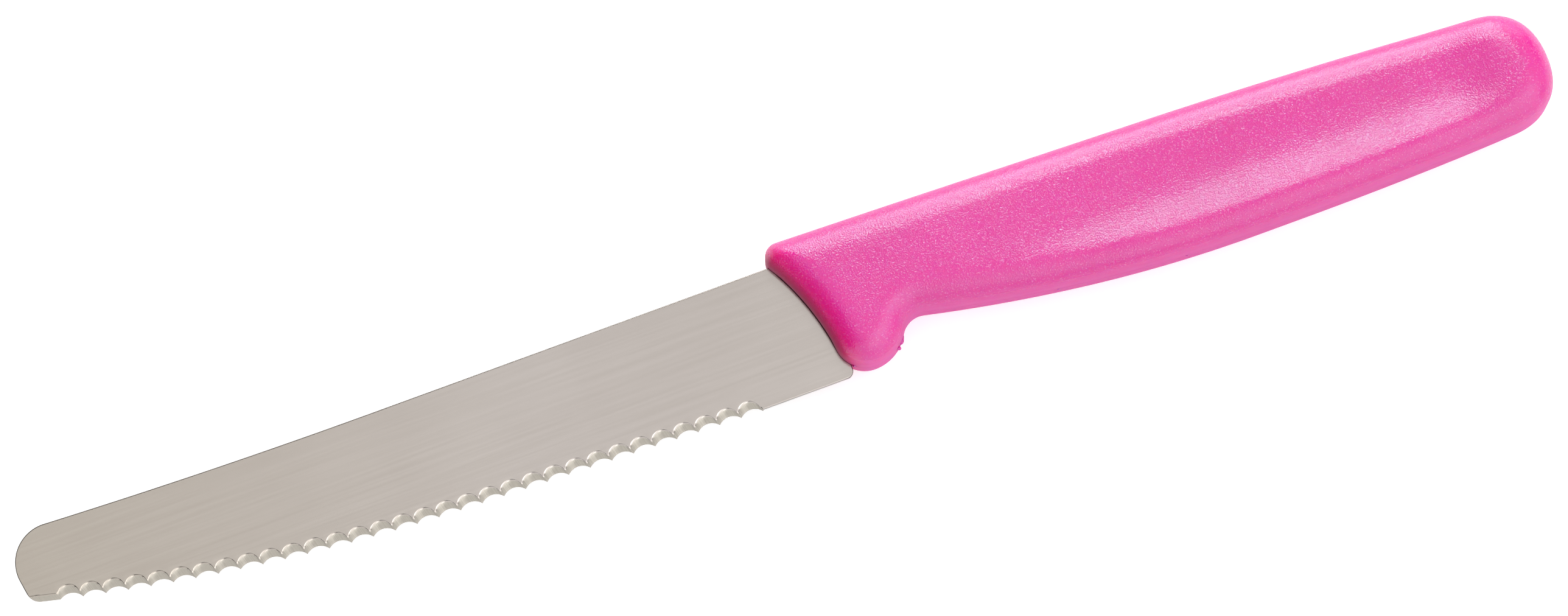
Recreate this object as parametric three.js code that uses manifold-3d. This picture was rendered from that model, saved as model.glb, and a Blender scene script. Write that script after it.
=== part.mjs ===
// Snack knife: a serrated steel blade whose tang is moulded into a plastic handle.
//
// Millimetres. The knife lies on its side: +X runs from the tip to the butt, +Y points to the spine
// and +Z is the side that the serrations are ground from. While it is built, the origin is where the
// spine meets the handle, on the middle plane of the blade. At the end the whole knife is moved so
// that the origin is under the middle of its box.

import * as THREE from 'three';
import { mergeVertices } from 'three/addons/utils/BufferGeometryUtils.js';
import Module from 'manifold-3d';

// Blade
const bladeThickness = 1.0;
const bladeReach = 106.9; // from the handle to the tip
const heelDepth = 17.5; // from the spine to the plain edge beside the handle
const heelSetback = 5.85; // how far the heel runs on behind the point where the spine meets the handle
const heelRound = 1.0;
const spineStraight = 55; // straight run of the spine before it sweeps up
const spineSweep = 980; // radius of that sweep
const noseRadius = 5.3; // round between the spine and the nose
const noseLean = 9; // degrees that the nose leans back towards the edge
const noseCorner = 2.0; // round between the nose and the edge
const noseShare = 0.8; // largest share of the blade's depth at the tip that the nose round takes up

// Serrated edge
const plainEdge = 7.2; // plain run of the edge in front of the handle
const edgeDrop = 0.1; // how far the teeth stand below the plain run
const edgeSlope = 1.9; // degrees, straight stretch
const edgeCurve = 58.9; // length of the stretch that rises to the nose, measured back from the tip
const edgeSweep = 280; // radius of that stretch
const toothPitch = 3.0;
const toothDepth = 0.68;
const bevelWidth = 0.92; // how far the grind reaches over the face, seen square to it
const bevelLean = 0.3; // how far each hollow leans to the nose as it climbs the face
const plainNose = 3.2; // run of the edge at the nose that is bevelled but not toothed
const noseBevelWidth = 0.62;

// Tang, hidden inside the handle
const tangMargin = 37; // plastic behind the end of the tang
const tangDepth = 8.5;
const tangDrop = 1.5; // step from the spine down to the tang
const tangStep = 3.0; // where that step is, behind the handle's front
const tangEndRound = 3.0;
const tangEndShare = 0.45; // largest share of the tang's depth that each end round takes up
const anchorHole = 4.4; // diameter
const anchorCount = 2;
const mouldGap = 0.3; // clearance between the tang and the plastic

// Handle, seen from the side
const handleLength = 106.95; // from the blade's spine to the butt
const handleThickness = 12.4;
const topRise = 2.5; // how far the back of the handle stands above the spine
const topSlope = 1.5; // degrees, straight stretch of the back
const topStraight = 50; // where the straight stretch ends
const topSweep = 950; // radius of the stretch that falls to the butt
const crownRadius = 1.9; // upper front corner
const frontRadius = 35; // hollow front edge
const frontLean = 30.8; // degrees that the front edge leans where it leaves the spine
const guardDrop = 4.55; // how far the finger guard hangs below the end of the notch
const guardNoseRadius = 4.2;
const notchRadius = 3.1; // finger notch behind the guard
const notchEnd = 17.4; // where the notch runs out into the belly
const bellyDepth = 17.87;
const bellyFirst = 63; // the belly is level between these two places
const bellySecond = 70;
const bellyFrontSweep = 200; // radius in front of the level stretch
const bellyRearSweep = 620; // radius behind it
const buttRound = 7.2; // length of the rounded butt
const buttMiddle = 9.8; // depth of the rearmost point below the spine
const buttTopFullness = 0.62; // 0.55 is round, more is squarer
const buttFootFullness = 0.64;

// Handle, surface
const edgeRound = 4.0; // round between the flanks and the sides
const scoopDepth = 1.0; // shallow scoop along each flank
const scoopLine = 10.6; // depth of the scoop's fold below the spine
const scoopFold = 2.0; // softness of the fold
const scoopUpperSlope = 0.05; // rise from the fold to the back
const scoopRampSlope = 0.22; // rise from the fold to the belly
const scoopStart = 28; // the scoop deepens between these two places
const scoopFull = 50;
const scoopFadeLength = 11; // and runs out over this length
const scoopEndMargin = 4; // to end this far in front of the butt

// Mesh fineness
const roundSteps = 6; // steps across the edge round
const innerSteps = 2; // steps from the round to the middle line
const headTurn = 33; // behind this place the ribs of the handle stand upright
const headRibs = 13; // ribs between the notch and that place
const ribPitch = 2.0; // spacing of the upright ribs
const ribSlant = 0.4; // least squareness to the rim that a rib is taken to have
const ribShare = 0.9; // largest share of a rib that the edge round takes up
const rimFalloff = 8; // how fast a stretch of the rim loses weight with distance
const rimSample = 0.2; // spacing of the points that stand for the rim
const arcSteps = 7; // steps on each small round of the outlines
const holeSides = 24;
const hollowSides = 48; // sides of the round cutter that leaves one tooth hollow
const overshoot = 5; // how far cutters reach past what they cut
const weld = 1e-5; // points closer than this are one point

const wasm = await Module();
wasm.setup();

const point = (x, y) => new THREE.Vector2(x, y);
const radians = THREE.MathUtils.degToRad;
const angleTo = (a, b) => Math.atan2(b.y - a.y, b.x - a.x);

// Numbers from the first value, left out, to the last, kept.
const evenly = (from, to, steps) => (
  Array.from({ length: steps }, (_, i) => from + ((to - from) * (i + 1)) / steps)
);

// Solids and outlines

function toSolid(geometry) {
  const bare = geometry.clone();
  bare.deleteAttribute('normal');
  bare.deleteAttribute('uv');
  const welded = mergeVertices(bare, weld);
  return new wasm.Manifold(new wasm.Mesh({
    numProp: 3,
    vertProperties: new Float32Array(welded.attributes.position.array),
    triVerts: new Uint32Array(welded.index.array),
  }));
}

function toGeometry(solid) {
  const mesh = solid.getMesh();
  const geometry = new THREE.BufferGeometry();
  geometry.setAttribute('position', new THREE.BufferAttribute(new Float32Array(mesh.vertProperties), 3));
  geometry.setIndex(new THREE.BufferAttribute(new Uint32Array(mesh.triVerts), 1));
  geometry.computeVertexNormals();
  return geometry;
}

function slab(outline, thickness, holes = []) {
  const shape = new THREE.Shape(outline);
  shape.holes = holes.map((hole) => new THREE.Path(hole));
  const geometry = new THREE.ExtrudeGeometry(shape, { depth: thickness, bevelEnabled: false, steps: 1 });
  return geometry.translate(0, 0, -thickness / 2);
}

function arcPoints(centre, radius, from, to, steps) {
  return [from, ...evenly(from, to, steps)].map((angle) => (
    point(centre.x + radius * Math.cos(angle), centre.y + radius * Math.sin(angle))
  ));
}

// Rounds one corner of an outline between two straight runs, as far as the first run is long.
function cornerPoints(before, corner, after, radius) {
  const back = before.clone().sub(corner).normalize();
  const ahead = after.clone().sub(corner).normalize();
  const length = Math.min(radius / Math.tan(back.angleTo(ahead) / 2), before.distanceTo(corner));
  const start = corner.clone().addScaledVector(back, length);
  const end = corner.clone().addScaledVector(ahead, length);
  return new THREE.QuadraticBezierCurve(start, corner, end).getPoints(arcSteps);
}

// Blade edge, as a run from the heel: straight at first, then an arc that rises to the nose

const edgeAngle = radians(edgeSlope);
const edgeStart = point(-plainEdge, -heelDepth - edgeDrop);
const edgeStraightRun = Math.max(0, bladeReach - edgeCurve - plainEdge) / Math.cos(edgeAngle);

function edgeAt(run) {
  const straight = Math.min(run, edgeStraightRun);
  const angle = edgeAngle + (run - straight) / edgeSweep;
  const place = point(
    edgeStart.x - straight * Math.cos(edgeAngle) - edgeSweep * (Math.sin(angle) - Math.sin(edgeAngle)),
    edgeStart.y + straight * Math.sin(edgeAngle) + edgeSweep * (Math.cos(edgeAngle) - Math.cos(angle)),
  );
  return { place, angle };
}

function spineAt(x) {
  const past = Math.max(0, -spineStraight - x);
  return point(x, spineSweep - Math.sqrt(spineSweep ** 2 - past ** 2));
}

// Longest run of the edge whose end passes a test, found by halving.
function runWhile(test) {
  const halvings = 50;
  let low = 0;
  let high = 2 * bladeReach;
  for (let i = 0; i < halvings; i += 1) {
    const guess = (low + high) / 2;
    if (test(edgeAt(guess).place)) low = guess;
    else high = guess;
  }
  return low;
}

const tipEdge = edgeAt(runWhile(({ x }) => x > -bladeReach)).place;
const tipDepth = spineAt(-bladeReach).y - tipEdge.y;
const noseRound = Math.min(noseRadius, noseShare * (tipDepth - noseCorner));
const noseStart = spineAt(noseRound - bladeReach);
const noseCentre = point(noseStart.x, noseStart.y - noseRound);
const noseAngle = Math.PI + radians(noseLean);
const noseArc = arcPoints(noseCentre, noseRound, Math.PI / 2, noseAngle, 2 * arcSteps);
const noseFoot = noseArc.at(-1);

// The edge ends where it meets the straight foot of the nose.
const noseOutward = point(Math.cos(noseAngle), Math.sin(noseAngle));
const edgeRun = runWhile((place) => place.sub(noseFoot).dot(noseOutward) < 0);
const toothCount = Math.floor((edgeRun - plainNose) / toothPitch);
const toothedRun = toothCount * toothPitch;

// Tang

const tangEnd = handleLength - tangMargin;
const tangFoot = -tangDrop - tangDepth;
const tangRound = Math.min(tangEndRound, tangEndShare * tangDepth);
const anchorPlaces = evenly(heelSetback, tangEnd, anchorCount + 1).slice(0, -1).map((x) => (
  point(x, -tangDrop - tangDepth / 2)
));

function tangOutline() {
  const heelTop = point(heelSetback, tangFoot);
  const lowerEnd = point(tangEnd, tangFoot);
  const upperEnd = point(tangEnd, -tangDrop);
  const step = point(tangStep, -tangDrop);
  return [
    heelTop,
    ...cornerPoints(heelTop, lowerEnd, upperEnd, tangRound),
    ...cornerPoints(lowerEnd, upperEnd, step, tangRound),
    step,
    point(tangStep, 0),
  ];
}

function bladeOutline() {
  const heel = point(heelSetback, -heelDepth);
  const heelFront = point(edgeStart.x + edgeDrop, -heelDepth);
  const sweep = [-spineStraight, ...evenly(-spineStraight, noseStart.x, arcSteps).slice(0, -1)];
  const edge = [0, ...evenly(0, edgeRun - 2 * noseCorner, 2 * toothCount)].map((run) => edgeAt(run).place);
  return [
    ...tangOutline(),
    ...sweep.map(spineAt),
    ...noseArc,
    ...cornerPoints(noseFoot, edgeAt(edgeRun).place, edge.at(-1), noseCorner),
    ...edge.reverse(),
    heelFront,
    ...cornerPoints(heelFront, heel, point(heelSetback, tangFoot), heelRound),
  ];
}

// Blade

// Places a cutter on the edge. It slides to the spine as it climbs from the back to the ground face.
function groundCutter(geometry, run, width, lean) {
  const { place, angle } = edgeAt(run);
  const rise = width / bladeThickness;
  const slide = -lean / bladeThickness;
  const half = bladeThickness / 2;
  const shear = new THREE.Matrix4().set(
    1, 0, slide, slide * half,
    0, 1, rise, rise * half,
    0, 0, 1, 0,
    0, 0, 0, 1,
  );
  const turn = new THREE.Matrix4().makeRotationZ(-angle).setPosition(place.x, place.y, 0);
  return toSolid(geometry.applyMatrix4(shear).applyMatrix4(turn));
}

function toothCutter(index) {
  const radius = toothPitch ** 2 / (8 * toothDepth) + toothDepth / 2;
  const round = new THREE.CylinderGeometry(radius, radius, bladeThickness + 2 * overshoot, hollowSides);
  round.rotateX(Math.PI / 2).translate(0, toothDepth - radius, 0);
  return groundCutter(round, (index + 0.5) * toothPitch, bevelWidth, bevelLean);
}

function noseCutter() {
  const length = edgeRun - toothedRun + overshoot;
  const block = new THREE.BoxGeometry(length, overshoot, bladeThickness + 2 * overshoot);
  block.translate(-length / 2, -overshoot / 2, 0);
  return groundCutter(block, toothedRun, noseBevelWidth, 0);
}

function bladeGeometry() {
  const holes = anchorPlaces.map((place) => (
    arcPoints(place, anchorHole / 2, 0, 2 * Math.PI, holeSides).slice(1)
  ));
  let solid = toSolid(slab(bladeOutline(), bladeThickness, holes));
  for (let i = 0; i < toothCount; i += 1) {
    solid = solid.subtract(toothCutter(i));
  }
  return toGeometry(solid.subtract(noseCutter()));
}

// Handle outline, as circles that touch each other, the back and the belly

const frontCircle = {
  x: -frontRadius * Math.cos(radians(frontLean)),
  y: -frontRadius * Math.sin(radians(frontLean)),
  radius: frontRadius,
};

// A circle to the right of another, touching it, with its centre at a given height.
function besideCircle(circle, y, radius) {
  const reach = circle.radius + radius;
  return { x: circle.x + Math.sqrt(reach ** 2 - (y - circle.y) ** 2), y, radius };
}

const crown = besideCircle(frontCircle, topRise - crownRadius, crownRadius);
const buttStart = handleLength - buttRound;
const backFall = Math.tan(radians(topSlope));

const topAt = (x) => (
  topRise - backFall * (x - crown.x) - Math.max(0, x - topStraight) ** 2 / (2 * topSweep)
);
const topSlopeAt = (x) => -backFall - Math.max(0, x - topStraight) / topSweep;

const bellyAt = (x) => (
  Math.max(0, bellyFirst - x) ** 2 / (2 * bellyFrontSweep)
  + Math.max(0, x - bellySecond) ** 2 / (2 * bellyRearSweep) - bellyDepth
);
const bellySlopeAt = (x) => (
  Math.max(0, x - bellySecond) / bellyRearSweep - Math.max(0, bellyFirst - x) / bellyFrontSweep
);

// The notch touches the belly at its end, and the rear of the guard is the round that touches both.
const notchNormal = Math.PI / 2 + Math.atan(bellySlopeAt(notchEnd));
const notch = {
  x: notchEnd - notchRadius * Math.cos(notchNormal),
  y: bellyAt(notchEnd) - notchRadius * Math.sin(notchNormal),
  radius: notchRadius,
};
const guardFloor = bellyAt(notchEnd) - guardDrop;
const guardNose = besideCircle(frontCircle, guardFloor + guardNoseRadius, guardNoseRadius);

function guardRearCircle() {
  const across = notch.x - guardNose.x;
  const above = notch.y - guardFloor;
  const radius = (across ** 2 + above ** 2 - notchRadius ** 2) / (2 * (notchRadius + above));
  return { x: guardNose.x, y: guardFloor + radius, radius };
}

const guardRear = guardRearCircle();

// A quarter of the rounded butt, from the end of the back or belly to the rearmost point.
function buttQuarter(y, slope, fullness) {
  const pull = fullness * buttRound;
  return new THREE.CubicBezierCurve(
    point(buttStart, y),
    point(buttStart + pull, y + slope * pull),
    point(handleLength, fullness * (y + buttMiddle) - buttMiddle),
    point(handleLength, -buttMiddle),
  ).getPoints(2 * arcSteps);
}

const bodyRibs = Math.ceil((buttStart - headTurn) / ribPitch);
const bodyPlaces = evenly(headTurn, buttStart, bodyRibs);

function upperOutline() {
  const meeting = angleTo(frontCircle, crown);
  const places = [...evenly(crown.x, headTurn, headRibs), ...bodyPlaces];
  return [
    ...arcPoints(frontCircle, frontRadius, angleTo(frontCircle, guardNose), meeting, arcSteps),
    ...arcPoints(crown, crownRadius, meeting + Math.PI, Math.PI / 2, arcSteps).slice(1),
    ...places.map((x) => point(x, topAt(x))),
  ];
}

function lowerOutline() {
  const meeting = angleTo(guardRear, notch);
  const places = [...evenly(notchEnd, headTurn, headRibs), ...bodyPlaces];
  return [
    ...arcPoints(guardRear, guardRear.radius, -Math.PI / 2, meeting, arcSteps),
    ...arcPoints(notch, notchRadius, meeting + Math.PI, notchNormal, arcSteps).slice(1),
    ...places.map((x) => point(x, bellyAt(x))),
  ];
}

// The middle line bends up from the guard and then runs halfway between the back and the belly.
function middleLine(upper, lower) {
  const halfway = (i) => upper[i].clone().add(lower[i]).multiplyScalar(0.5);
  const turn = 2 * arcSteps + headRibs;
  const bend = point(guardNose.x, (topAt(notchEnd) + bellyAt(notchEnd)) / 2);
  const guardCentre = point(guardNose.x, guardNose.y);
  const head = new THREE.QuadraticBezierCurve(guardCentre, bend, halfway(turn)).getPoints(turn);
  return upper.map((_, i) => (i < turn ? head[i] : halfway(i)));
}

// The flank is drawn as ribs, anticlockwise. Each runs from a point on the rim to its root on the
// middle line, and upper and lower ribs share their roots.
function handleRibs() {
  const upper = upperOutline();
  const lower = lowerOutline();
  const roots = middleLine(upper, lower);
  const ribs = (outline) => outline.map((rim, i) => ({ rim, root: roots[i] }));
  const fan = (outline, root) => outline.slice(1, -1).map((rim) => ({ rim, root }));
  const guardStart = (angleTo(guardNose, frontCircle) + 2 * Math.PI) % (2 * Math.PI);
  const guardArc = arcPoints(guardNose, guardNoseRadius, guardStart, 1.5 * Math.PI, arcSteps);
  const buttLower = buttQuarter(bellyAt(buttStart), bellySlopeAt(buttStart), buttFootFullness);
  const buttUpper = buttQuarter(topAt(buttStart), topSlopeAt(buttStart), buttTopFullness);
  return [
    ...ribs(lower),
    ...fan([...buttLower, ...buttUpper.reverse().slice(1)], roots.at(-1)),
    ...ribs(upper).reverse(),
    ...fan(guardArc, roots[0]),
  ];
}

// Handle surface

// What one endless straight rim adds up to at unit distance.
function straightRim() {
  let share = Math.PI;
  for (let n = 2; n <= rimFalloff - 2; n += 2) {
    share *= (n - 1) / n;
  }
  return share;
}

const rimUnit = straightRim();

function rimPoints(ribs) {
  return ribs.flatMap(({ rim }, i) => {
    const next = ribs[(i + 1) % ribs.length].rim;
    const length = rim.distanceTo(next);
    const count = Math.ceil(length / rimSample);
    return Array.from({ length: count }, (_, k) => ({
      place: rim.clone().lerp(next, (k + 0.5) / count),
      length: length / count,
    }));
  });
}

// Distance in from the rim, eased where two runs of the rim come close, as in the upper front corner.
function insetAt(place, rim) {
  const pull = rim.reduce((sum, bit) => sum + bit.length / place.distanceTo(bit.place) ** rimFalloff, 0);
  return (rimUnit / pull) ** (1 / (rimFalloff - 1));
}

// Half thickness of the handle before its edges are rounded.
function flankAt({ x, y }) {
  const { smoothstep } = THREE.MathUtils;
  const scoopEnd = handleLength - scoopEndMargin;
  const fade = smoothstep(x, scoopEnd - scoopFadeLength, scoopEnd);
  const strength = smoothstep(x, scoopStart, scoopFull) - fade;
  const across = y + scoopLine;
  const lean = (scoopUpperSlope - scoopRampSlope) / 2;
  const bend = (scoopUpperSlope + scoopRampSlope) / 2;
  const rise = lean * across + bend * (Math.hypot(across, scoopFold) - scoopFold);
  return handleThickness / 2 - strength * (scoopDepth - rise);
}

// The round leaves a wall beside the rim that is at least as thick as the blade.
const flankRound = Math.min(edgeRound, handleThickness / 2 - scoopDepth - bladeThickness / 2);

function roundDrop(inset) {
  const left = Math.max(0, flankRound - inset);
  return flankRound - Math.sqrt(flankRound ** 2 - left ** 2);
}

// One rib as a row of points from the rim, over the round, to the middle line.
function ribPoints({ rim, root }, inward, rimBits) {
  const length = rim.distanceTo(root);
  const along = root.clone().sub(rim).divideScalar(length);
  const squareness = Math.max(along.dot(inward), ribSlant);
  const reach = Math.min(flankRound / squareness, ribShare * length);
  const round = evenly(0, Math.PI / 2, roundSteps).map((turn) => reach * (1 - Math.cos(turn)));
  const inner = evenly(reach, length, innerSteps).slice(0, -1);
  const between = [...round, ...inner].map((step) => rim.clone().addScaledVector(along, step));
  return [
    new THREE.Vector3(rim.x, rim.y, flankAt(rim) - flankRound),
    ...[...between, root].map((place) => (
      new THREE.Vector3(place.x, place.y, flankAt(place) - roundDrop(insetAt(place, rimBits)))
    )),
  ];
}

function handleRows() {
  const ribs = handleRibs();
  const rimBits = rimPoints(ribs);
  return ribs.map((rib, i) => {
    const before = ribs.at(i - 1).rim;
    const after = ribs[(i + 1) % ribs.length].rim;
    const forward = after.clone().sub(before).normalize();
    return ribPoints(rib, point(-forward.y, forward.x), rimBits);
  });
}

function handleBody() {
  const rows = handleRows();
  const positions = [];
  const triangle = (...corners) => {
    const [a, b, c] = corners;
    const isThin = Math.min(a.distanceTo(b), b.distanceTo(c), c.distanceTo(a)) < weld;
    if (!isThin) corners.forEach((corner) => positions.push(...corner.toArray()));
  };
  const quad = (a, b, c, d) => {
    triangle(a, b, c);
    triangle(a, c, d);
  };
  const under = ({ x, y, z }) => new THREE.Vector3(x, y, -z);
  rows.forEach((row, i) => {
    const next = rows[(i + 1) % rows.length];
    for (let k = 0; k + 1 < row.length; k += 1) {
      quad(row[k], next[k], next[k + 1], row[k + 1]);
      quad(under(row[k + 1]), under(next[k + 1]), under(next[k]), under(row[k]));
    }
    quad(under(row[0]), under(next[0]), next[0], row[0]);
  });
  const geometry = new THREE.BufferGeometry();
  geometry.setAttribute('position', new THREE.Float32BufferAttribute(positions, 3));
  return toSolid(geometry);
}

// The hollow that the moulding leaves round the tang and the heel, open at the front of the handle.
function tangHollow() {
  const top = mouldGap - tangDrop;
  const foot = tangFoot - mouldGap;
  const floor = -heelDepth - overshoot;
  const rear = heelSetback + mouldGap;
  const end = tangEnd + mouldGap;
  const step = tangStep + mouldGap;
  const outline = [
    point(-overshoot, mouldGap),
    point(-overshoot, floor),
    point(rear, floor),
    point(rear, foot),
    point(end, foot),
    point(end, top),
    point(step, top),
    point(step, mouldGap),
  ];
  const width = bladeThickness + 2 * mouldGap;
  let hollow = toSolid(slab(outline, width));
  anchorPlaces.forEach(({ x, y }) => {
    const radius = anchorHole / 2 - mouldGap;
    const peg = new THREE.CylinderGeometry(radius, radius, width + overshoot, holeSides);
    hollow = hollow.subtract(toSolid(peg.rotateX(Math.PI / 2).translate(x, y, 0)));
  });
  return hollow;
}

// Knife

const steel = new THREE.MeshStandardMaterial({ color: 0xbdb5ac, roughness: 0.36, metalness: 1.0 });
const pinkPlastic = new THREE.MeshStandardMaterial({ color: 0xe8459f, roughness: 0.5, metalness: 0.0 });

const blade = new THREE.Mesh(bladeGeometry(), steel);
blade.name = 'blade';

const handle = new THREE.Mesh(toGeometry(handleBody().subtract(tangHollow())), pinkPlastic);
handle.name = 'handle';

const knife = new THREE.Group();
knife.add(blade, handle);

const box = new THREE.Box3().setFromObject(knife);
const centre = box.getCenter(new THREE.Vector3());
knife.position.set(-centre.x, -centre.y, -box.min.z);

export default knife;
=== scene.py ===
"""Snack knife: the looks of its serrated steel blade and its moulded pink handle.

Sizes are in millimetres in the knife's own plan. There, x runs from the tip to the butt, y from the
edge to the spine, and z from the plain face of the blade to its ground face. The plan's origin is
where the spine meets the handle, on the middle plane of the blade, and ``Plan`` carries its points
into the frame, which is in metres.
"""

import logging
import math
from dataclasses import dataclass
from enum import Enum
from functools import cached_property
from typing import Any, Sequence

import bmesh
import bpy
import numpy as np
from mathutils import Matrix, Vector


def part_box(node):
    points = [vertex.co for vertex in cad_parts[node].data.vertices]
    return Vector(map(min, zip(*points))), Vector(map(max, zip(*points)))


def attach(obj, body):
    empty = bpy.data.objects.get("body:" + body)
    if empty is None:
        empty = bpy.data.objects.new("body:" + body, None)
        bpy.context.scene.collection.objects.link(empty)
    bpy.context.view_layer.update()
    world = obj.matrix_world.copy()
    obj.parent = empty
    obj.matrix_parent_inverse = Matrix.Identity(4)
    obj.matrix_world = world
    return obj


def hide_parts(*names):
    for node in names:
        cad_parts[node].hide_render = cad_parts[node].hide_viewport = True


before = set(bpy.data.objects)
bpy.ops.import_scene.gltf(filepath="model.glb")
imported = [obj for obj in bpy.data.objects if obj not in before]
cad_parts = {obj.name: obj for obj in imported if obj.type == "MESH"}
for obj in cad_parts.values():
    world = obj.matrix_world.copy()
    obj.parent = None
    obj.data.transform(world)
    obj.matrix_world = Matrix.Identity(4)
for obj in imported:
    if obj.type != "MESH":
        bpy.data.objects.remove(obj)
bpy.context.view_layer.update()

MM = 0.001
WELD = 1e-6
LOG = logging.getLogger("snack_knife")
# The range that most values of a noise texture fall in.
NOISE_RANGE = (0.3, 0.7)

Array = np.ndarray
Colour = tuple[float, float, float, float]


# Shared geometry


def evenly(start: float, end: float, steps: int) -> Array:
    """Numbers from start, left out, to end, kept."""
    return np.linspace(start, end, steps + 1)[1:]


def smoothstep(values: Array, low: float, high: float) -> Array:
    """An eased step from 0 at low to 1 at high."""
    share = np.clip((values - low) / (high - low), 0, 1)
    return share * share * (3 - 2 * share)


def soft_min(first: Array, second: Array, softness: float) -> Array:
    """The smaller of two heights, with the crest where they meet rounded off."""
    overlap = np.clip(1 - np.abs(first - second) / softness, 0, 1)
    return np.minimum(first, second) - overlap**2 * softness / 4


def quarter_drop(inset: Array, radius: float, softness: float = 0.0) -> Array:
    """How far a quarter round has fallen at a distance in from the edge that it rounds.

    Args:
        inset: Distances in from the edge.
        radius: The round's radius.
        softness: Length over which the round eases into the flat.

    Returns:
        The fall at each distance.
    """
    left = radius - inset
    easing = (np.sqrt(left**2 + softness**2) - np.abs(left)) / 2
    eased = np.clip(left, 0, radius) + easing * np.clip(inset / radius, 0, 1) ** 2
    return radius - np.sqrt(radius**2 - eased**2)


def bezier(points: Sequence[Sequence[float]], steps: int) -> Array:
    """A Bezier curve through its first and last control points.

    Args:
        points: Three or four control points.
        steps: Number of steps along the curve.

    Returns:
        The curve's points, steps + 1 of them.
    """
    rows = np.asarray(points, float)
    share = np.linspace(0, 1, steps + 1)[:, None]
    order = len(rows) - 1
    terms = (
        math.comb(order, k) * share**k * (1 - share) ** (order - k) * row for k, row in enumerate(rows)
    )
    return sum(terms)


@dataclass(frozen=True)
class Circle:
    """One of the touching circles that an outline is drawn with."""

    x: float
    y: float
    radius: float

    def beside(self, y: float, radius: float) -> "Circle":
        """A circle to the right of this one, touching it, with its centre at height y."""
        reach = self.radius + radius
        return Circle(self.x + math.sqrt(reach**2 - (y - self.y) ** 2), y, radius)

    def angle_to(self, other: "Circle") -> float:
        """The direction from this circle's centre to another's."""
        return math.atan2(other.y - self.y, other.x - self.x)

    def arc(self, start: float, end: float, steps: int) -> Array:
        """Points on the circle from one angle to another, both kept."""
        turn = np.linspace(start, end, steps + 1)
        return np.array([self.x, self.y]) + self.radius * np.stack([np.cos(turn), np.sin(turn)], axis=1)


@dataclass(frozen=True)
class Plan:
    """Where the knife's own plan lies in the frame."""

    origin: Vector

    @classmethod
    def from_frame(cls, handle: "Handle") -> "Plan":
        """Finds the plan's origin from the handle's box in the frame.

        Args:
            handle: The handle's sizes.

        Returns:
            The plan.
        """
        low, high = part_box("handle")
        return cls(Vector((
            high.x - handle.length * MM,
            low.y + handle.belly_depth * MM,
            (low.z + high.z) / 2,
        )))

    def point(self, x: float, y: float, z: float) -> Vector:
        """A point of the plan in the frame."""
        return self.origin + Vector((x, y, z)) * MM


def lay_grid(bm: bmesh.types.BMesh, rows: Array) -> list[bmesh.types.BMVert]:
    """Lays a sheet of quads over rows of points.

    Args:
        bm: The mesh that the sheet is added to.
        rows: Points in millimetres, as an array of rows by columns by 3.

    Returns:
        The sheet's vertices, row by row.
    """
    high, wide = rows.shape[:2]
    made = bmesh.ops.create_grid(bm, x_segments=wide - 1, y_segments=high - 1, size=1)

    def number(vert: bmesh.types.BMVert) -> int:
        """The vertex's number, counted row by row."""
        column, row = (vert.co.x + 1) / 2 * (wide - 1), (vert.co.y + 1) / 2 * (high - 1)
        return round(row) * wide + round(column)

    ordered = sorted(made["verts"], key=number)
    for vert, place in zip(ordered, rows.reshape(-1, 3) * MM):
        vert.co = place
    return ordered


def seal(bm: bmesh.types.BMesh) -> None:
    """Merges doubles, turns the faces outwards and shades them smooth.

    Args:
        bm: The mesh, which is closed once its doubles are merged.
    """
    bmesh.ops.remove_doubles(bm, verts=bm.verts[:], dist=WELD)
    bmesh.ops.dissolve_degenerate(bm, edges=bm.edges[:], dist=WELD / 10)
    bmesh.ops.recalc_face_normals(bm, faces=bm.faces[:])
    for face in bm.faces:
        face.smooth = True


def to_object(bm: bmesh.types.BMesh, name: str, material: bpy.types.Material) -> bpy.types.Object:
    """Makes an object of a finished bmesh and links it to the scene.

    Args:
        bm: The mesh, which is freed.
        name: Name of the object and its mesh.
        material: The finish.

    Returns:
        The object, at the origin.
    """
    mesh = bpy.data.meshes.new(name)
    bm.to_mesh(mesh)
    bm.free()
    mesh.materials.append(material)
    piece = bpy.data.objects.new(name, mesh)
    bpy.context.scene.collection.objects.link(piece)
    return piece


# Shader nodes


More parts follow.
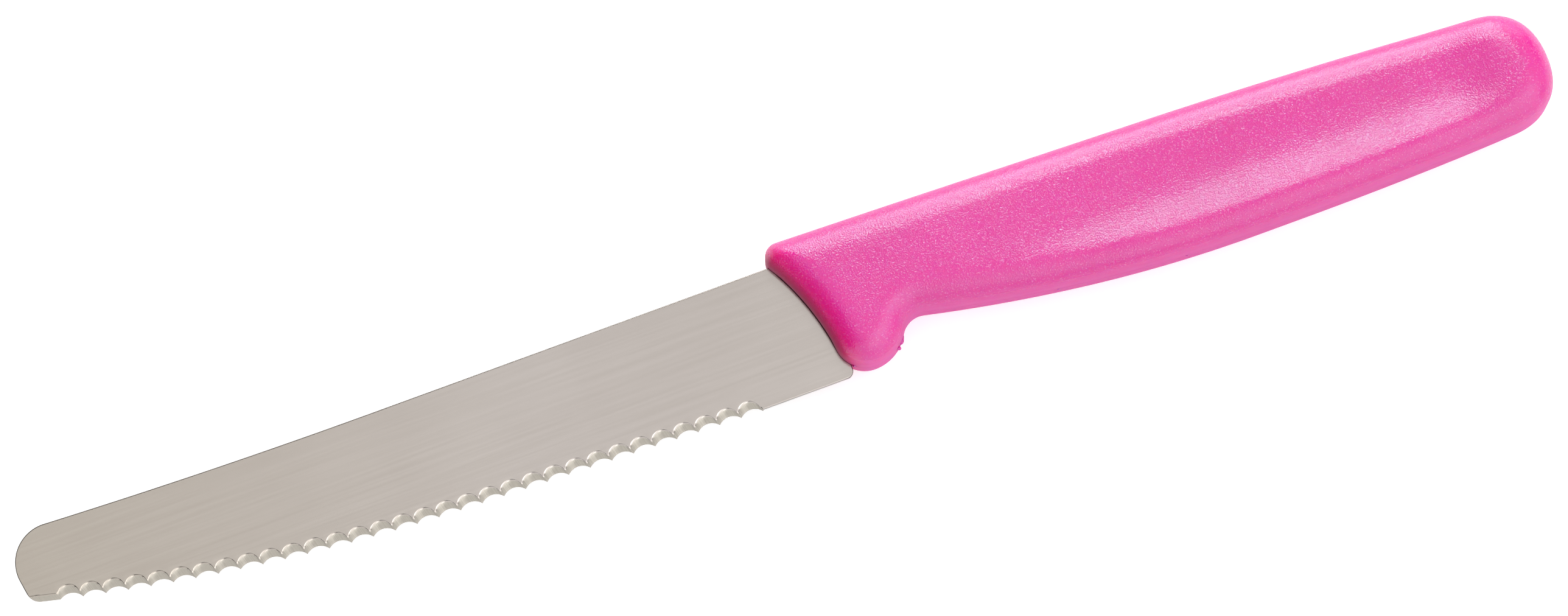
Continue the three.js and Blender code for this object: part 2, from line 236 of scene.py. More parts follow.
class NodeSheet:
    """A node tree that is filled in by short calls."""

    def __init__(self, tree: bpy.types.NodeTree) -> None:
        """Starts on an existing tree."""
        self.tree = tree

    def add(self, kind: str, feeds: dict[Any, Any] | None = None, **settings: Any) -> bpy.types.Node:
        """Adds one node.

        Args:
            kind: The node's type, such as ShaderNodeMath.
            feeds: Input socket, by name or number, to a value or to the output that feeds it.
            **settings: The node's own properties.

        Returns:
            The new node.
        """
        node = self.tree.nodes.new(kind)
        for name, value in settings.items():
            setattr(node, name, value)
        for socket, value in (feeds or {}).items():
            self.feed(node.inputs[socket], value)
        return node

    def feed(self, socket: bpy.types.NodeSocket, value: Any) -> None:
        """Links an output to an input, or sets the input's value.

        Args:
            socket: The input.
            value: A value, or the output that feeds it.
        """
        if isinstance(value, bpy.types.NodeSocket):
            self.tree.links.new(value, socket)
        else:
            socket.default_value = value

    def math(self, operation: str, *values: Any) -> bpy.types.NodeSocket:
        """One step of arithmetic on numbers or outputs."""
        node = self.add("ShaderNodeMath", dict(enumerate(values)), operation=operation)
        return node.outputs[0]

    def remap(self, value: Any, low: float, high: float, to_low: Any, to_high: Any) -> Any:
        """Stretches a range of values to another range, clamped.

        Args:
            value: The output that is stretched.
            low: Start of its range.
            high: End of its range.
            to_low: Start of the new range.
            to_high: End of the new range.

        Returns:
            The stretched output.
        """
        names = ("Value", "From Min", "From Max", "To Min", "To Max")
        node = self.add("ShaderNodeMapRange", dict(zip(names, (value, low, high, to_low, to_high))))
        return node.outputs["Result"]

    def mix(self, share: Any, first: Any, second: Any) -> bpy.types.NodeSocket:
        """Mixes two colours."""
        feeds = {"Factor": share, 6: first, 7: second}
        return self.add("ShaderNodeMix", feeds, data_type="RGBA").outputs[2]

    def noise(self, vector: Any, scale: float, detail: float = 2.0) -> bpy.types.NodeSocket:
        """Smooth noise from 0 to 1, with its scale in features per metre."""
        feeds = {"Vector": vector, "Scale": scale, "Detail": detail}
        return self.add("ShaderNodeTexNoise", feeds).outputs["Fac"]

    def stretched(self, vector: Any, scale: tuple[float, float, float]) -> bpy.types.NodeSocket:
        """Coordinates that are stretched along the axes, to draw a pattern out."""
        return self.add("ShaderNodeMapping", {"Vector": vector, "Scale": scale}).outputs[0]


def new_group(name: str, inputs: dict[str, tuple[str, Any]], output: str) -> tuple[Any, Any, Any]:
    """Starts a shader node group with named sockets.

    Args:
        name: The group's name.
        inputs: Socket name to socket type and default value.
        output: Name of the one value that the group puts out.

    Returns:
        The group's tree, its input node and its output node.
    """
    tree = bpy.data.node_groups.new(name, "ShaderNodeTree")
    for socket_name, (kind, value) in inputs.items():
        socket = tree.interface.new_socket(socket_name, in_out="INPUT", socket_type=kind)
        if value is not None:
            socket.default_value = value
    tree.interface.new_socket(output, in_out="OUTPUT", socket_type="NodeSocketFloat")
    return tree, tree.nodes.new("NodeGroupInput"), tree.nodes.new("NodeGroupOutput")


@dataclass(frozen=True)
class SharedEffects:
    """Effects that both of the knife's materials use, each with its own values."""

    CLOUD_DETAIL = 3.0

    cloudiness: bpy.types.NodeTree
    specks: bpy.types.NodeTree
    rim_depth: bpy.types.NodeTree

    @classmethod
    def build(cls) -> "SharedEffects":
        """Makes each node group once."""
        return cls(cls._cloudiness(), cls._specks(), cls._rim_depth())

    @staticmethod
    def _cloudiness() -> bpy.types.NodeTree:
        """Broad soft patches, as a number between Low and High.

        Returns:
            The node group.
        """
        tree, entry, leaving = new_group("soft_cloudiness", {
            "Vector": ("NodeSocketVector", None),
            "Scale": ("NodeSocketFloat", 100.0),
            "Low": ("NodeSocketFloat", 0.0),
            "High": ("NodeSocketFloat", 1.0),
        }, "Amount")
        sheet = NodeSheet(tree)
        noise = sheet.noise(entry.outputs["Vector"], entry.outputs["Scale"], SharedEffects.CLOUD_DETAIL)
        spread = sheet.remap(noise, *NOISE_RANGE, entry.outputs["Low"], entry.outputs["High"])
        sheet.feed(leaving.inputs["Amount"], spread)
        return tree

    @staticmethod
    def _specks() -> bpy.types.NodeTree:
        """A mask of scattered small specks: dust, pits and nicks.

        Returns:
            The node group.
        """
        tree, entry, leaving = new_group("scattered_specks", {
            "Vector": ("NodeSocketVector", None),
            "Scale": ("NodeSocketFloat", 400.0),
            "Size": ("NodeSocketFloat", 0.1),
            "Share": ("NodeSocketFloat", 0.05),
        }, "Mask")
        sheet = NodeSheet(tree)
        cells = sheet.add("ShaderNodeTexVoronoi", {
            "Vector": entry.outputs["Vector"],
            "Scale": entry.outputs["Scale"],
        })
        hue = sheet.add("ShaderNodeSeparateColor", {"Color": cells.outputs["Color"]})
        chosen = sheet.math("LESS_THAN", hue.outputs["Red"], entry.outputs["Share"])
        size = sheet.math("MULTIPLY", entry.outputs["Size"], hue.outputs["Green"])
        near = sheet.math("LESS_THAN", cells.outputs["Distance"], size)
        sheet.feed(leaving.inputs["Mask"], sheet.math("MULTIPLY", chosen, near))
        return tree

    @staticmethod
    def _rim_depth() -> bpy.types.NodeTree:
        """How far inside a circle of the plan a point lies, below 0 when it lies outside.

        Returns:
            The node group.
        """
        tree, entry, leaving = new_group("rim_depth", {
            "Vector": ("NodeSocketVector", None),
            "Centre": ("NodeSocketVector", None),
            "Radius": ("NodeSocketFloat", 0.01),
        }, "Depth")
        sheet = NodeSheet(tree)
        level = sheet.add("ShaderNodeVectorMath", {
            0: entry.outputs["Vector"], 1: (1.0, 1.0, 0.0),
        }, operation="MULTIPLY")
        away = sheet.add("ShaderNodeVectorMath", {
            0: level.outputs[0], 1: entry.outputs["Centre"],
        }, operation="DISTANCE")
        depth = sheet.math("SUBTRACT", entry.outputs["Radius"], away.outputs["Value"])
        sheet.feed(leaving.inputs["Depth"], depth)
        return tree

    def depth_in(self, circle: Circle, plan: Plan, sheet: NodeSheet, place: Any) -> bpy.types.NodeSocket:
        """Adds the depth inside one circle of the plan to a material.

        Args:
            circle: The circle.
            plan: Where the knife lies.
            sheet: The material's nodes.
            place: The coordinates.

        Returns:
            The depth.
        """
        centre = plan.point(circle.x, circle.y, 0)
        feeds = {"Vector": place, "Centre": (centre.x, centre.y, 0.0), "Radius": circle.radius * MM}
        return sheet.add("ShaderNodeGroup", feeds, node_tree=self.rim_depth).outputs["Depth"]


def start_material(name: str) -> tuple[bpy.types.Material, NodeSheet, bpy.types.Node]:
    """Makes a material with only its Principled shader in it.

    Args:
        name: The material's name.

    Returns:
        The material, its nodes and its shader.
    """
    material = bpy.data.materials.new(name)
    material.use_nodes = True
    shader = material.node_tree.nodes["Principled BSDF"]
    return material, NodeSheet(material.node_tree), shader


@dataclass(frozen=True)
class MouldedPlastic:
    """Bright pink polypropylene with the fine grain of a spark-eroded mould."""

    name: str = "pink_moulded_plastic"
    colour: Colour = (0.645, 0.0175, 0.280, 1.0)
    deep_colour: Colour = (0.625, 0.0145, 0.264, 1.0)
    # Painted shade: the plastic turns darker and redder towards the front edge, and darker still at its
    # foot by the blade.
    painted_front_shade: Colour = (0.74, 0.005, 0.165, 1.0)
    painted_lip_shade: Colour = (0.43, 0.002, 0.095, 1.0)
    speck_colour: Colour = (0.80, 0.30, 0.55, 1.0)
    # Painted highlight: light spots on the grain of the flanks that face up.
    glint_colour: Colour = (0.88, 0.44, 0.82, 1.0)
    shine_colour: Colour = (0.3, 1.0, 1.0, 1.0)
    patch_scale: float = 90.0
    speck_scale: float = 260.0
    speck_size: float = 0.04
    speck_share: float = 0.02
    front_shade_reach: float = 2.8
    lip_depth: float = 1.0
    upright_range: tuple[float, float] = (0.1, 0.6)
    roughness: float = 0.14
    wall_roughness: float = 0.5
    grain_size: float = 0.21
    grain_height: float = 0.059
    grain_detail: float = 1.5
    wall_grain: float = 0.15
    glint_noise_range: tuple[float, float] = (0.60, 0.68)
    glint_paint_strength: float = 0.21
    translucency: float = 0.8
    light_reach: tuple[float, float, float] = (1.0, 0.12, 0.3)
    light_depth: float = 3.0
    refraction: float = 1.68

    def material(self, effects: SharedEffects, mouth: Circle, plan: Plan) -> bpy.types.Material:
        """Builds the material.

        Args:
            effects: The shared node groups.
            mouth: The handle's front edge, towards which painted shade deepens the colour.
            plan: Where the knife lies.

        Returns:
            The finished material.
        """
        material, sheet, shader = start_material(self.name)
        coordinates = sheet.add("ShaderNodeTexCoord")
        place = coordinates.outputs["Object"]
        patches = sheet.add("ShaderNodeGroup", {
            "Vector": place, "Scale": self.patch_scale,
        }, node_tree=effects.cloudiness)
        specks = sheet.add("ShaderNodeGroup", {
            "Vector": place, "Scale": self.speck_scale, "Size": self.speck_size, "Share": self.speck_share,
        }, node_tree=effects.specks)
        body = sheet.mix(patches.outputs["Amount"], self.deep_colour, self.colour)
        ahead = effects.depth_in(mouth, plan, sheet, place)
        # Painted shade: darker, redder colour towards the front edge, darkest at its foot by the blade.
        front_shade_share = sheet.remap(ahead, -self.front_shade_reach * MM, 0.0, 0.0, 1.0)
        lip = sheet.remap(ahead, -self.lip_depth * MM, 0.0, 0.0, 1.0)
        shaded = sheet.mix(lip, sheet.mix(front_shade_share, body, self.painted_front_shade), self.painted_lip_shade)
        facing = sheet.add("ShaderNodeSeparateXYZ", {"Vector": coordinates.outputs["Normal"]})
        level = sheet.math("ABSOLUTE", facing.outputs["Z"])
        upright = sheet.remap(level, *self.upright_range, 0.0, 1.0)
        open_flank = sheet.math("MULTIPLY", upright, sheet.math("SUBTRACT", 1.0, front_shade_share))
        grain = sheet.noise(place, 1 / (self.grain_size * MM), self.grain_detail)
        # Painted highlights: lighter spots on the grain, only on flanks that face up and away from the
        # front edge.
        painted_glints = sheet.remap(grain, *self.glint_noise_range, 0.0, self.glint_paint_strength)
        glinting = sheet.mix(sheet.math("MULTIPLY", painted_glints, open_flank), shaded, self.glint_colour)
        speckled = sheet.mix(specks.outputs["Mask"], glinting, self.speck_colour)
        sheet.feed(shader.inputs["Base Color"], speckled)
        dull = sheet.math("MAXIMUM", lip, sheet.math("SUBTRACT", 1.0, upright))
        rough = sheet.remap(dull, 0.0, 1.0, self.roughness, self.wall_roughness)
        sheet.feed(shader.inputs["Roughness"], rough)
        relief = sheet.math("MULTIPLY", grain, sheet.remap(upright, 0.0, 1.0, self.wall_grain, 1.0))
        bump = sheet.add("ShaderNodeBump", {
            "Strength": 1.0, "Distance": self.grain_height * MM, "Height": relief,
        })
        sheet.feed(shader.inputs["Normal"], bump.outputs["Normal"])
        shader.inputs["Subsurface Weight"].default_value = self.translucency
        shader.inputs["Subsurface Radius"].default_value = self.light_reach
        shader.inputs["Subsurface Scale"].default_value = self.light_depth * MM
        shader.inputs["IOR"].default_value = self.refraction
        shader.inputs["Specular Tint"].default_value = self.shine_colour
        return material


@dataclass(frozen=True)
class BrushedSteel:
    """Stainless steel sheet, finely brushed along the blade, with freshly ground serrations."""

    name: str = "brushed_blade_steel"
    light: Colour = (0.517, 0.474, 0.442, 1.0)
    dark: Colour = (0.459, 0.416, 0.384, 1.0)
    dust_colour: Colour = (0.80, 0.80, 0.82, 1.0)
    ground_light: Colour = (0.47, 0.44, 0.39, 1.0)
    ground_dark: Colour = (0.38, 0.35, 0.30, 1.0)
    # Painted shade: the face turns darker and a little warmer towards the tip.
    painted_tip_shade: Colour = (0.90, 0.89, 0.83, 1.0)
    tip_shade_start: float = -35.0
    tip_shade_full: float = -107.0
    streak_scale: tuple[float, float, float] = (50.0, 2400.0, 50.0)
    streak_detail: float = 3.0
    streak_share: float = 0.6
    patch_scale: float = 60.0
    dust_scale: float = 200.0
    dust_size: float = 0.03
    dust_share: float = 0.03
    grind_scale: float = 9.0
    grind_detail: float = 3.0
    # Painted shade: a dark line along the stamped edges of the spine, nose and heel.
    painted_edge_shade: Colour = (0.10, 0.085, 0.07, 1.0)
    # Painted shadow: a thin dark line on the steel round the handle's mouth.
    painted_mouth_shadow: Colour = (0.09, 0.06, 0.065, 1.0)
    roughness: float = 0.18
    roughness_spread: float = 0.015
    ground_roughness: float = 0.36
    mouth_shadow_width: float = 0.05
    mouth_waver: float = 0.08
    waver_scale: float = 900.0

    def material(self, effects: SharedEffects, handle: "Handle", plan: Plan) -> bpy.types.Material:
        """Builds the material.

        Args:
            effects: The shared node groups.
            handle: The handle, round whose mouth a thin line of painted shadow lies on the steel.
            plan: Where the knife lies.

        Returns:
            The finished material.
        """
        material, sheet, shader = start_material(self.name)
        place = sheet.add("ShaderNodeTexCoord").outputs["Object"]
        ground = sheet.add("ShaderNodeAttribute", attribute_name=Blade.GROUND).outputs["Fac"]
        run = sheet.add("ShaderNodeAttribute", attribute_name=Blade.GRIND_RUN).outputs["Fac"]
        rim = sheet.add("ShaderNodeAttribute", attribute_name=Blade.EDGE_SHADE).outputs["Fac"]
        strokes = sheet.noise(sheet.stretched(place, self.streak_scale), 1.0, self.streak_detail)
        streaks = sheet.remap(strokes, *NOISE_RANGE, 0.0, 1.0)
        patches = sheet.add("ShaderNodeGroup", {
            "Vector": place, "Scale": self.patch_scale,
        }, node_tree=effects.cloudiness)
        clouds = sheet.math("MULTIPLY", patches.outputs["Amount"], 1 - self.streak_share)
        tone = sheet.math("MULTIPLY_ADD", streaks, self.streak_share, clouds)
        plain = sheet.mix(tone, self.dark, self.light)
        sides = sheet.add("ShaderNodeSeparateXYZ", {"Vector": place})
        # Painted shade: darker and warmer towards the tip.
        ends = [plan.point(x, 0, 0).x for x in (self.tip_shade_start, self.tip_shade_full)]
        forward = sheet.remap(sides.outputs["X"], *ends, 0.0, 1.0)
        face = sheet.add("ShaderNodeMix", {
            "Factor": forward, 6: plain, 7: self.painted_tip_shade,
        }, data_type="RGBA", blend_type="MULTIPLY").outputs[2]
        dust = sheet.add("ShaderNodeGroup", {
            "Vector": place, "Scale": self.dust_scale, "Size": self.dust_size, "Share": self.dust_share,
        }, node_tree=effects.specks)
        dusty = sheet.mix(dust.outputs["Mask"], face, self.dust_colour)
        lines = sheet.add("ShaderNodeTexNoise", {
            "W": run, "Scale": self.grind_scale, "Detail": self.grind_detail,
        }, noise_dimensions="1D")
        stripe = sheet.remap(lines.outputs["Fac"], *NOISE_RANGE, 0.0, 1.0)
        bevel = sheet.mix(stripe, self.ground_dark, self.ground_light)
        polished = sheet.mix(ground, dusty, bevel)
        # Painted shade: dark line along the stamped edges.
        with_edge_shade = sheet.mix(rim, polished, self.painted_edge_shade)
        # Painted shadow round the handle's mouth.
        line = self.mouth_shadow_mask(effects, handle, plan, sheet, place)
        sheet.feed(shader.inputs["Base Color"], sheet.mix(line, with_edge_shade, self.painted_mouth_shadow))
        low, high = self.roughness - self.roughness_spread, self.roughness + self.roughness_spread
        smooth = sheet.remap(streaks, 0.0, 1.0, low, high)
        spread = sheet.math("SUBTRACT", self.ground_roughness, smooth)
        sheet.feed(shader.inputs["Roughness"], sheet.math("MULTIPLY_ADD", ground, spread, smooth))
        shader.inputs["Metallic"].default_value = 1.0
        return material

    def mouth_shadow_mask(
        self, effects: SharedEffects, handle: "Handle", plan: Plan, sheet: NodeSheet, place: Any
    ) -> bpy.types.NodeSocket:
        """A thin wavering line of painted shadow on the steel, along the front edge and the guard of the
        handle.

        Args:
            effects: The shared node groups.
            handle: The handle.
            plan: Where the knife lies.
            sheet: The material's nodes.
            place: The coordinates.

        Returns:
            The line's mask.
        """
        front = effects.depth_in(handle.front, plan, sheet, place)
        nose = effects.depth_in(handle.guard_nose, plan, sheet, place)
        turn = handle.front.angle_to(handle.guard_nose)
        meeting = plan.point(*handle.front.arc(turn, turn, 1)[0], 0)
        sides = sheet.add("ShaderNodeSeparateXYZ", {"Vector": place})
        low = sheet.math("LESS_THAN", sides.outputs["Y"], meeting.y)
        change = sheet.math("SUBTRACT", sheet.math("MULTIPLY", nose, -1.0), front)
        gap = sheet.math("MULTIPLY_ADD", low, change, front)
        waver = sheet.math("MULTIPLY", sheet.noise(place, self.waver_scale), self.mouth_waver * MM)
        width = sheet.math("ADD", waver, (self.mouth_shadow_width - self.mouth_waver / 2) * MM)
        rear = sheet.math("GREATER_THAN", sides.outputs["X"], plan.point(handle.front.x, 0, 0).x)
        return sheet.math("MULTIPLY", rear, sheet.math("LESS_THAN", gap, width))


@dataclass(frozen=True)
class StudioFloor:
    """A plain pale sheet under the knife, which throws less light at the knife than at the camera."""

    name: str = "pale_floor"
    colour: Colour = (0.92, 0.92, 0.92, 1.0)
    dim_colour: Colour = (0.88, 0.88, 0.88, 1.0)
    roughness: float = 0.9
    glow: float = 0.35
    no_glow: Colour = (0.0, 0.0, 0.0, 1.0)

    def material(self) -> bpy.types.Material:
        """Builds the material.

        Returns:
            The finished material.
        """
        material, sheet, shader = start_material(self.name)
        seen = sheet.add("ShaderNodeLightPath").outputs["Is Camera Ray"]
        sheet.feed(shader.inputs["Base Color"], sheet.mix(seen, self.dim_colour, self.colour))
        sheet.feed(shader.inputs["Emission Color"], sheet.mix(seen, self.no_glow, self.colour))
        shader.inputs["Emission Strength"].default_value = self.glow
        shader.inputs["Roughness"].default_value = self.roughness
        return material


# Blade


class Face(Enum):
    """The two faces of the blade."""

    GROUND = 1
    PLAIN = -1


@dataclass
class Blade:
    """One stamped steel sheet: the blade, its ground serrations and the tang inside the handle."""

    # Names of the mesh's own attributes, which the steel reads.
    GROUND = "ground"
    GRIND_RUN = "grind_run"
    # Marks the stamped edges, which the steel darkens with painted shade.
    EDGE_SHADE = "rim"

    # More than any height or distance that it is set beside.
    FAR = 9.0

    thickness: float = 1.0
    reach: float = 106.9
    heel_depth: float = 17.5
    heel_setback: float = 5.85
    heel_round: float = 1.0
    spine_straight: float = 55.0
    spine_sweep: float = 980.0
    nose_radius: float = 5.3
    nose_lean: float = 9.0
    nose_corner: float = 2.0
    plain_edge: float = 7.2
    edge_drop: float = 0.1
    edge_slope: float = 1.9
    edge_curve: float = 58.9
    edge_sweep: float = 280.0
    tooth_pitch: float = 3.0
    tooth_depth: float = 0.68
    bevel_width: float = 0.92
    bevel_lean: float = 0.3
    crest_radius: float = 1.54
    plain_nose: float = 3.2
    nose_bevel_width: float = 0.62
    tang_end: float = 69.95
    tang_depth: float = 8.5
    tang_drop: float = 1.5
    shoulder_softness: float = 0.4
    ridge_softness: float = 0.10
    edge_land: float = 0.03
    ground_roll: float = 0.08
    plain_roll: float = 0.06
    edge_shade_band: float = 0.12
    shoulder_mark: float = 0.08
    roomy_wall: float = 0.6
    roomy_column: float = 5.0
    tang_margin: float = 0.2
    rear_facing: float = 0.9
    columns_per_tooth: int = 24
    short_steps: int = 12
    edge_samples: int = 400_001

    # Rows of the mesh from the edge up: distances from a plain edge, shares of the way up a hollow,
    # distances below and above its shoulder, shares of the way to the spine, distances below the spine.
    LOW_ROWS = (0.0, 0.02, 0.05, 0.09, 0.14, 0.2, 0.3, 0.42, 0.58, 0.78, 1.05, 1.4, 1.75, 2.2)
    HOLLOW_SHARES = (0.0, 0.08, 0.22, 0.4, 0.58, 0.74)
    BELOW_SHOULDER = (0.14, 0.07)
    ABOVE_SHOULDER = (0.0, 0.07, 0.14, 0.24, 0.4)
    UPPER_SHARES = (0.16, 0.32, 0.6, 0.78, 0.92)
    SPINE_ROWS = (0.3, 0.18, 0.1, 0.05, 0.015, 0.0)

    @cached_property
    def edge_angle(self) -> float:
        """Slope of the straight stretch of the edge, in radians."""
        return math.radians(self.edge_slope)

    def edge_at(self, run: Array) -> tuple[Array, Array]:
        """The edge at a run from the heel: straight at first, then an arc that rises to the nose.

        Args:
            run: Lengths along the edge from its first tooth.

        Returns:
            Points on the edge, and the edge's slope there in radians.
        """
        run = np.asarray(run, float)
        slope = self.edge_angle
        straight = np.minimum(run, (self.reach - self.edge_curve - self.plain_edge) / math.cos(slope))
        angle = slope + (run - straight) / self.edge_sweep
        x = -self.plain_edge - straight * math.cos(slope)
        x = x - self.edge_sweep * (np.sin(angle) - math.sin(slope))
        y = -self.heel_depth - self.edge_drop + straight * math.sin(slope)
        y = y + self.edge_sweep * (math.cos(slope) - np.cos(angle))
        return np.stack([x, y], axis=-1), angle

    def spine_at(self, x: Array) -> Array:
        """Height of the spine, which sweeps up a little towards the nose."""
        past = np.maximum(0, -self.spine_straight - np.asarray(x, float))
        return self.spine_sweep - np.sqrt(self.spine_sweep**2 - past**2)

    @cached_property
    def nose(self) -> Circle:
        """The round between the spine and the nose."""
        x = self.nose_radius - self.reach
        return Circle(x, float(self.spine_at(x)) - self.nose_radius, self.nose_radius)

    @cached_property
    def nose_angle(self) -> float:
        """Direction in which the straight foot of the nose faces."""
        return math.pi + math.radians(self.nose_lean)

    @cached_property
    def nose_outward(self) -> Array:
        """Unit vector square to the foot of the nose."""
        return np.array([math.cos(self.nose_angle), math.sin(self.nose_angle)])

    @cached_property
    def nose_foot(self) -> Array:
        """Where the nose round ends and the straight foot begins."""
        return self.nose.arc(math.pi / 2, self.nose_angle, 1)[-1]

    @cached_property
    def edge_run(self) -> float:
        """Length of the edge, up to the foot of the nose.

        Returns:
            The run at which the edge first meets the line of the foot.
        """
        runs = np.linspace(0, 1.5 * self.reach, self.edge_samples)
        past = (self.edge_at(runs)[0] - self.nose_foot) @ self.nose_outward
        return float(runs[np.argmax(past >= 0)])

    @cached_property
    def tooth_count(self) -> int:
        """Number of hollows ground into the edge."""
        return int((self.edge_run - self.plain_nose) / self.tooth_pitch)

    @cached_property
    def toothed_run(self) -> float:
        """Length of the serrated stretch."""
        return self.tooth_count * self.tooth_pitch

    @cached_property
    def hollow_radius(self) -> float:
        """Radius of one hollow, from its chord and depth."""
        return self.tooth_pitch**2 / (8 * self.tooth_depth) + self.tooth_depth / 2

    @cached_property
    def ridge_crest(self) -> float:
        """Height above the edge line at which two hollows meet on the ground face."""
        level = self.tooth_depth - self.crest_radius + self.bevel_width
        return level + math.sqrt(self.crest_radius**2 - self.tooth_pitch**2 / 4)

    def hollow_crest(self, run: Array, climb: float) -> Array:
        """Height of the hollows above the edge line, on a level between the two faces.

        Args:
            run: Lengths along the edge.
            climb: 0 on the plain face and 1 on the ground face.

        Returns:
            The height of the upper rim of the hollows at each run.
        """
        centres = (np.arange(self.tooth_count) + 0.5) * self.tooth_pitch + climb * self.bevel_lean
        across = np.asarray(run, float)[:, None] - centres[None, :]
        radius = self.hollow_radius + climb * (self.crest_radius - self.hollow_radius)
        inside = np.maximum(0, radius**2 - across**2)
        level = self.tooth_depth - radius + climb * self.bevel_width
        return (level + np.sqrt(inside)).max(axis=1)

    def grind_heights(self, places: Array) -> Array:
        """Height that the serrations and the bevel at the nose leave of the ground face.

        Args:
            places: Points of the plan, as an array of points by 2.

        Returns:
            The height of the ground surface over each point, before the shoulder is softened.
        """
        half = self.thickness / 2
        result = np.full(len(places), self.FAR)
        narrowing = self.hollow_radius - self.crest_radius
        reach = self.bevel_lean**2 + self.bevel_width**2 + 2 * self.bevel_width * narrowing
        for index in range(self.tooth_count):
            centre, angle = self.edge_at((index + 0.5) * self.tooth_pitch)
            offset = places - centre
            across = offset[:, 0] * math.cos(angle) - offset[:, 1] * math.sin(angle)
            above = offset[:, 0] * math.sin(angle) + offset[:, 1] * math.cos(angle)
            above = above - (self.tooth_depth - self.hollow_radius)
            lean = self.bevel_lean * across - (self.bevel_width + narrowing) * above
            lean = lean + self.hollow_radius * narrowing
            outside = across**2 + above**2 - self.hollow_radius**2
            root = lean**2 - reach * outside
            climb = (-lean - np.sqrt(np.maximum(root, 0))) / reach
            cut = np.where((root > 0) & (lean < 0), climb * self.thickness - half, self.FAR)
            result = soft_min(result, cut, self.ridge_softness)
        tip, angle = self.edge_at(self.toothed_run)
        offset = places - tip
        above = offset[:, 0] * math.sin(angle) + offset[:, 1] * math.cos(angle)
        beyond = offset[:, 0] * math.cos(angle) - offset[:, 1] * math.sin(angle)
        bevel = above / self.nose_bevel_width * self.thickness - half
        bevel = np.where(beyond < self.tooth_pitch / 2, bevel, self.FAR)
        return soft_min(result, bevel, self.ridge_softness)

    def stamped_inset(self, places: Array) -> Array:
        """Distance in from the spine and the nose.

        Args:
            places: Points of the plan.

        Returns:
            The distance of each point.
        """
        x, y = places[:, 0], places[:, 1]
        spine = self.spine_at(x) - y
        foot = (self.nose_foot - places) @ self.nose_outward
        offset = places - np.array([self.nose.x, self.nose.y])
        turned = np.arctan2(offset[:, 1], offset[:, 0]) % (2 * math.pi)
        on_round = (turned > math.pi / 2) & (turned < self.nose_angle)
        nose = np.where(on_round, self.nose.radius - np.hypot(offset[:, 0], offset[:, 1]), foot)
        return np.where(x < self.nose.x, nose, spine)

    def rear_inset(self, places: Array) -> Array:
        """Distance forward from the rear of the heel and its round corner.

        Args:
            places: Points of the plan.

        Returns:
            The distance of each point.
        """
        below = self.heel_round - self.heel_depth - places[:, 1]
        swing = np.clip(below, 0, self.heel_round)
        rear = self.heel_setback - self.heel_round + np.sqrt(self.heel_round**2 - swing**2)
        return rear - places[:, 0]

    def inset_at(self, places: Array) -> Array:
        """Distance in from the outline, apart from its serrated stretch.

        Args:
            places: Points of the plan.

        Returns:
            The distance of each point.
        """
        x, y = places[:, 0], places[:, 1]
        edge = np.where(x > self.edge_drop - self.plain_edge, y + self.heel_depth, self.FAR)
        rear = self.heel_setback - x
        corner = self.heel_round - np.stack([edge, rear])
        rounded = self.heel_round - np.hypot(*np.maximum(corner, 0))
        heel = np.where((corner > 0).all(axis=0), rounded, np.minimum(edge, rear))
        return np.maximum(0, np.minimum(self.stamped_inset(places), heel))

    def heights(self, places: Array, face: Face) -> Array:
        """Height of one face over points of the plan.

        Args:
            places: Points of the plan.
            face: The face.

        Returns:
            The height over each point.
        """
        half = self.thickness / 2
        inset = self.inset_at(places)
        if face is Face.PLAIN:
            return quarter_drop(inset, self.plain_roll) - half
        rolled = half - quarter_drop(inset, self.ground_roll)
        ground = soft_min(rolled, self.grind_heights(places), self.shoulder_softness)
        return np.maximum(ground, self.edge_land - half)

    def hollow_column(self, run: float) -> Array:
        """Distances of the lower rows from the edge line, across one hollow and its shoulder.

        Args:
            run: Length along the edge.

        Returns:
            The distances, upwards.
        """
        if run > self.toothed_run:
            low, shoulder = 0.0, self.nose_bevel_width
        else:
            low = max(0.0, float(self.hollow_crest(np.array([run]), 0.0)[0]))
            shoulder = max(self.ridge_crest, float(self.hollow_crest(np.array([run]), 1.0)[0]))
        hollow = [low + (shoulder - low) * share for share in self.HOLLOW_SHARES]
        room = min(1.0, (shoulder - low) / self.roomy_wall)
        below = [shoulder - step * room for step in self.BELOW_SHOULDER]
        above = [shoulder + step for step in self.ABOVE_SHOULDER]
        return np.array([*hollow, *below, *above, self.LOW_ROWS[-1]])

    def feet(self) -> tuple[Array, Array, int]:
        """Points on the lower outline, where the columns of the blade's mesh start.

        Returns:
            The points from the rear of the heel to the foot of the nose, the runs of those that stand
            on the ground edge, and the number of the first of these.
        """
        inner = self.heel_setback - self.heel_round
        heel = Circle(inner, self.heel_round - self.heel_depth, self.heel_round)
        heel_feet = heel.arc(0, -math.pi / 2, self.short_steps)
        first_cut = 2 * self.bevel_lean - self.plain_edge
        plain_x = np.concatenate([
            evenly(inner, first_cut, self.short_steps),
            evenly(first_cut, self.edge_drop - self.plain_edge, self.short_steps),
        ])
        plain_feet = np.stack([plain_x, np.full_like(plain_x, -self.heel_depth)], axis=1)
        tooth_runs = np.linspace(0, self.toothed_run, self.tooth_count * self.columns_per_tooth + 1)
        nose_tip, tip_angle = self.edge_at(self.edge_run)
        up_nose = np.array([self.nose_outward[1], -self.nose_outward[0]])
        back_edge = np.array([math.cos(tip_angle), -math.sin(tip_angle)])
        half_turn = math.acos(float(up_nose @ back_edge)) / 2
        trim = self.nose_corner / math.tan(half_turn)
        nose_runs = evenly(self.toothed_run, self.edge_run - trim, self.short_steps)
        corner_feet = bezier(
            [nose_tip + back_edge * trim, nose_tip, nose_tip + up_nose * trim], self.short_steps
        )[1:]
        runs = np.concatenate([tooth_runs, nose_runs])
        feet = np.concatenate([heel_feet, plain_feet, self.edge_at(runs)[0], corner_feet])
        return feet, runs, len(heel_feet) + len(plain_feet)

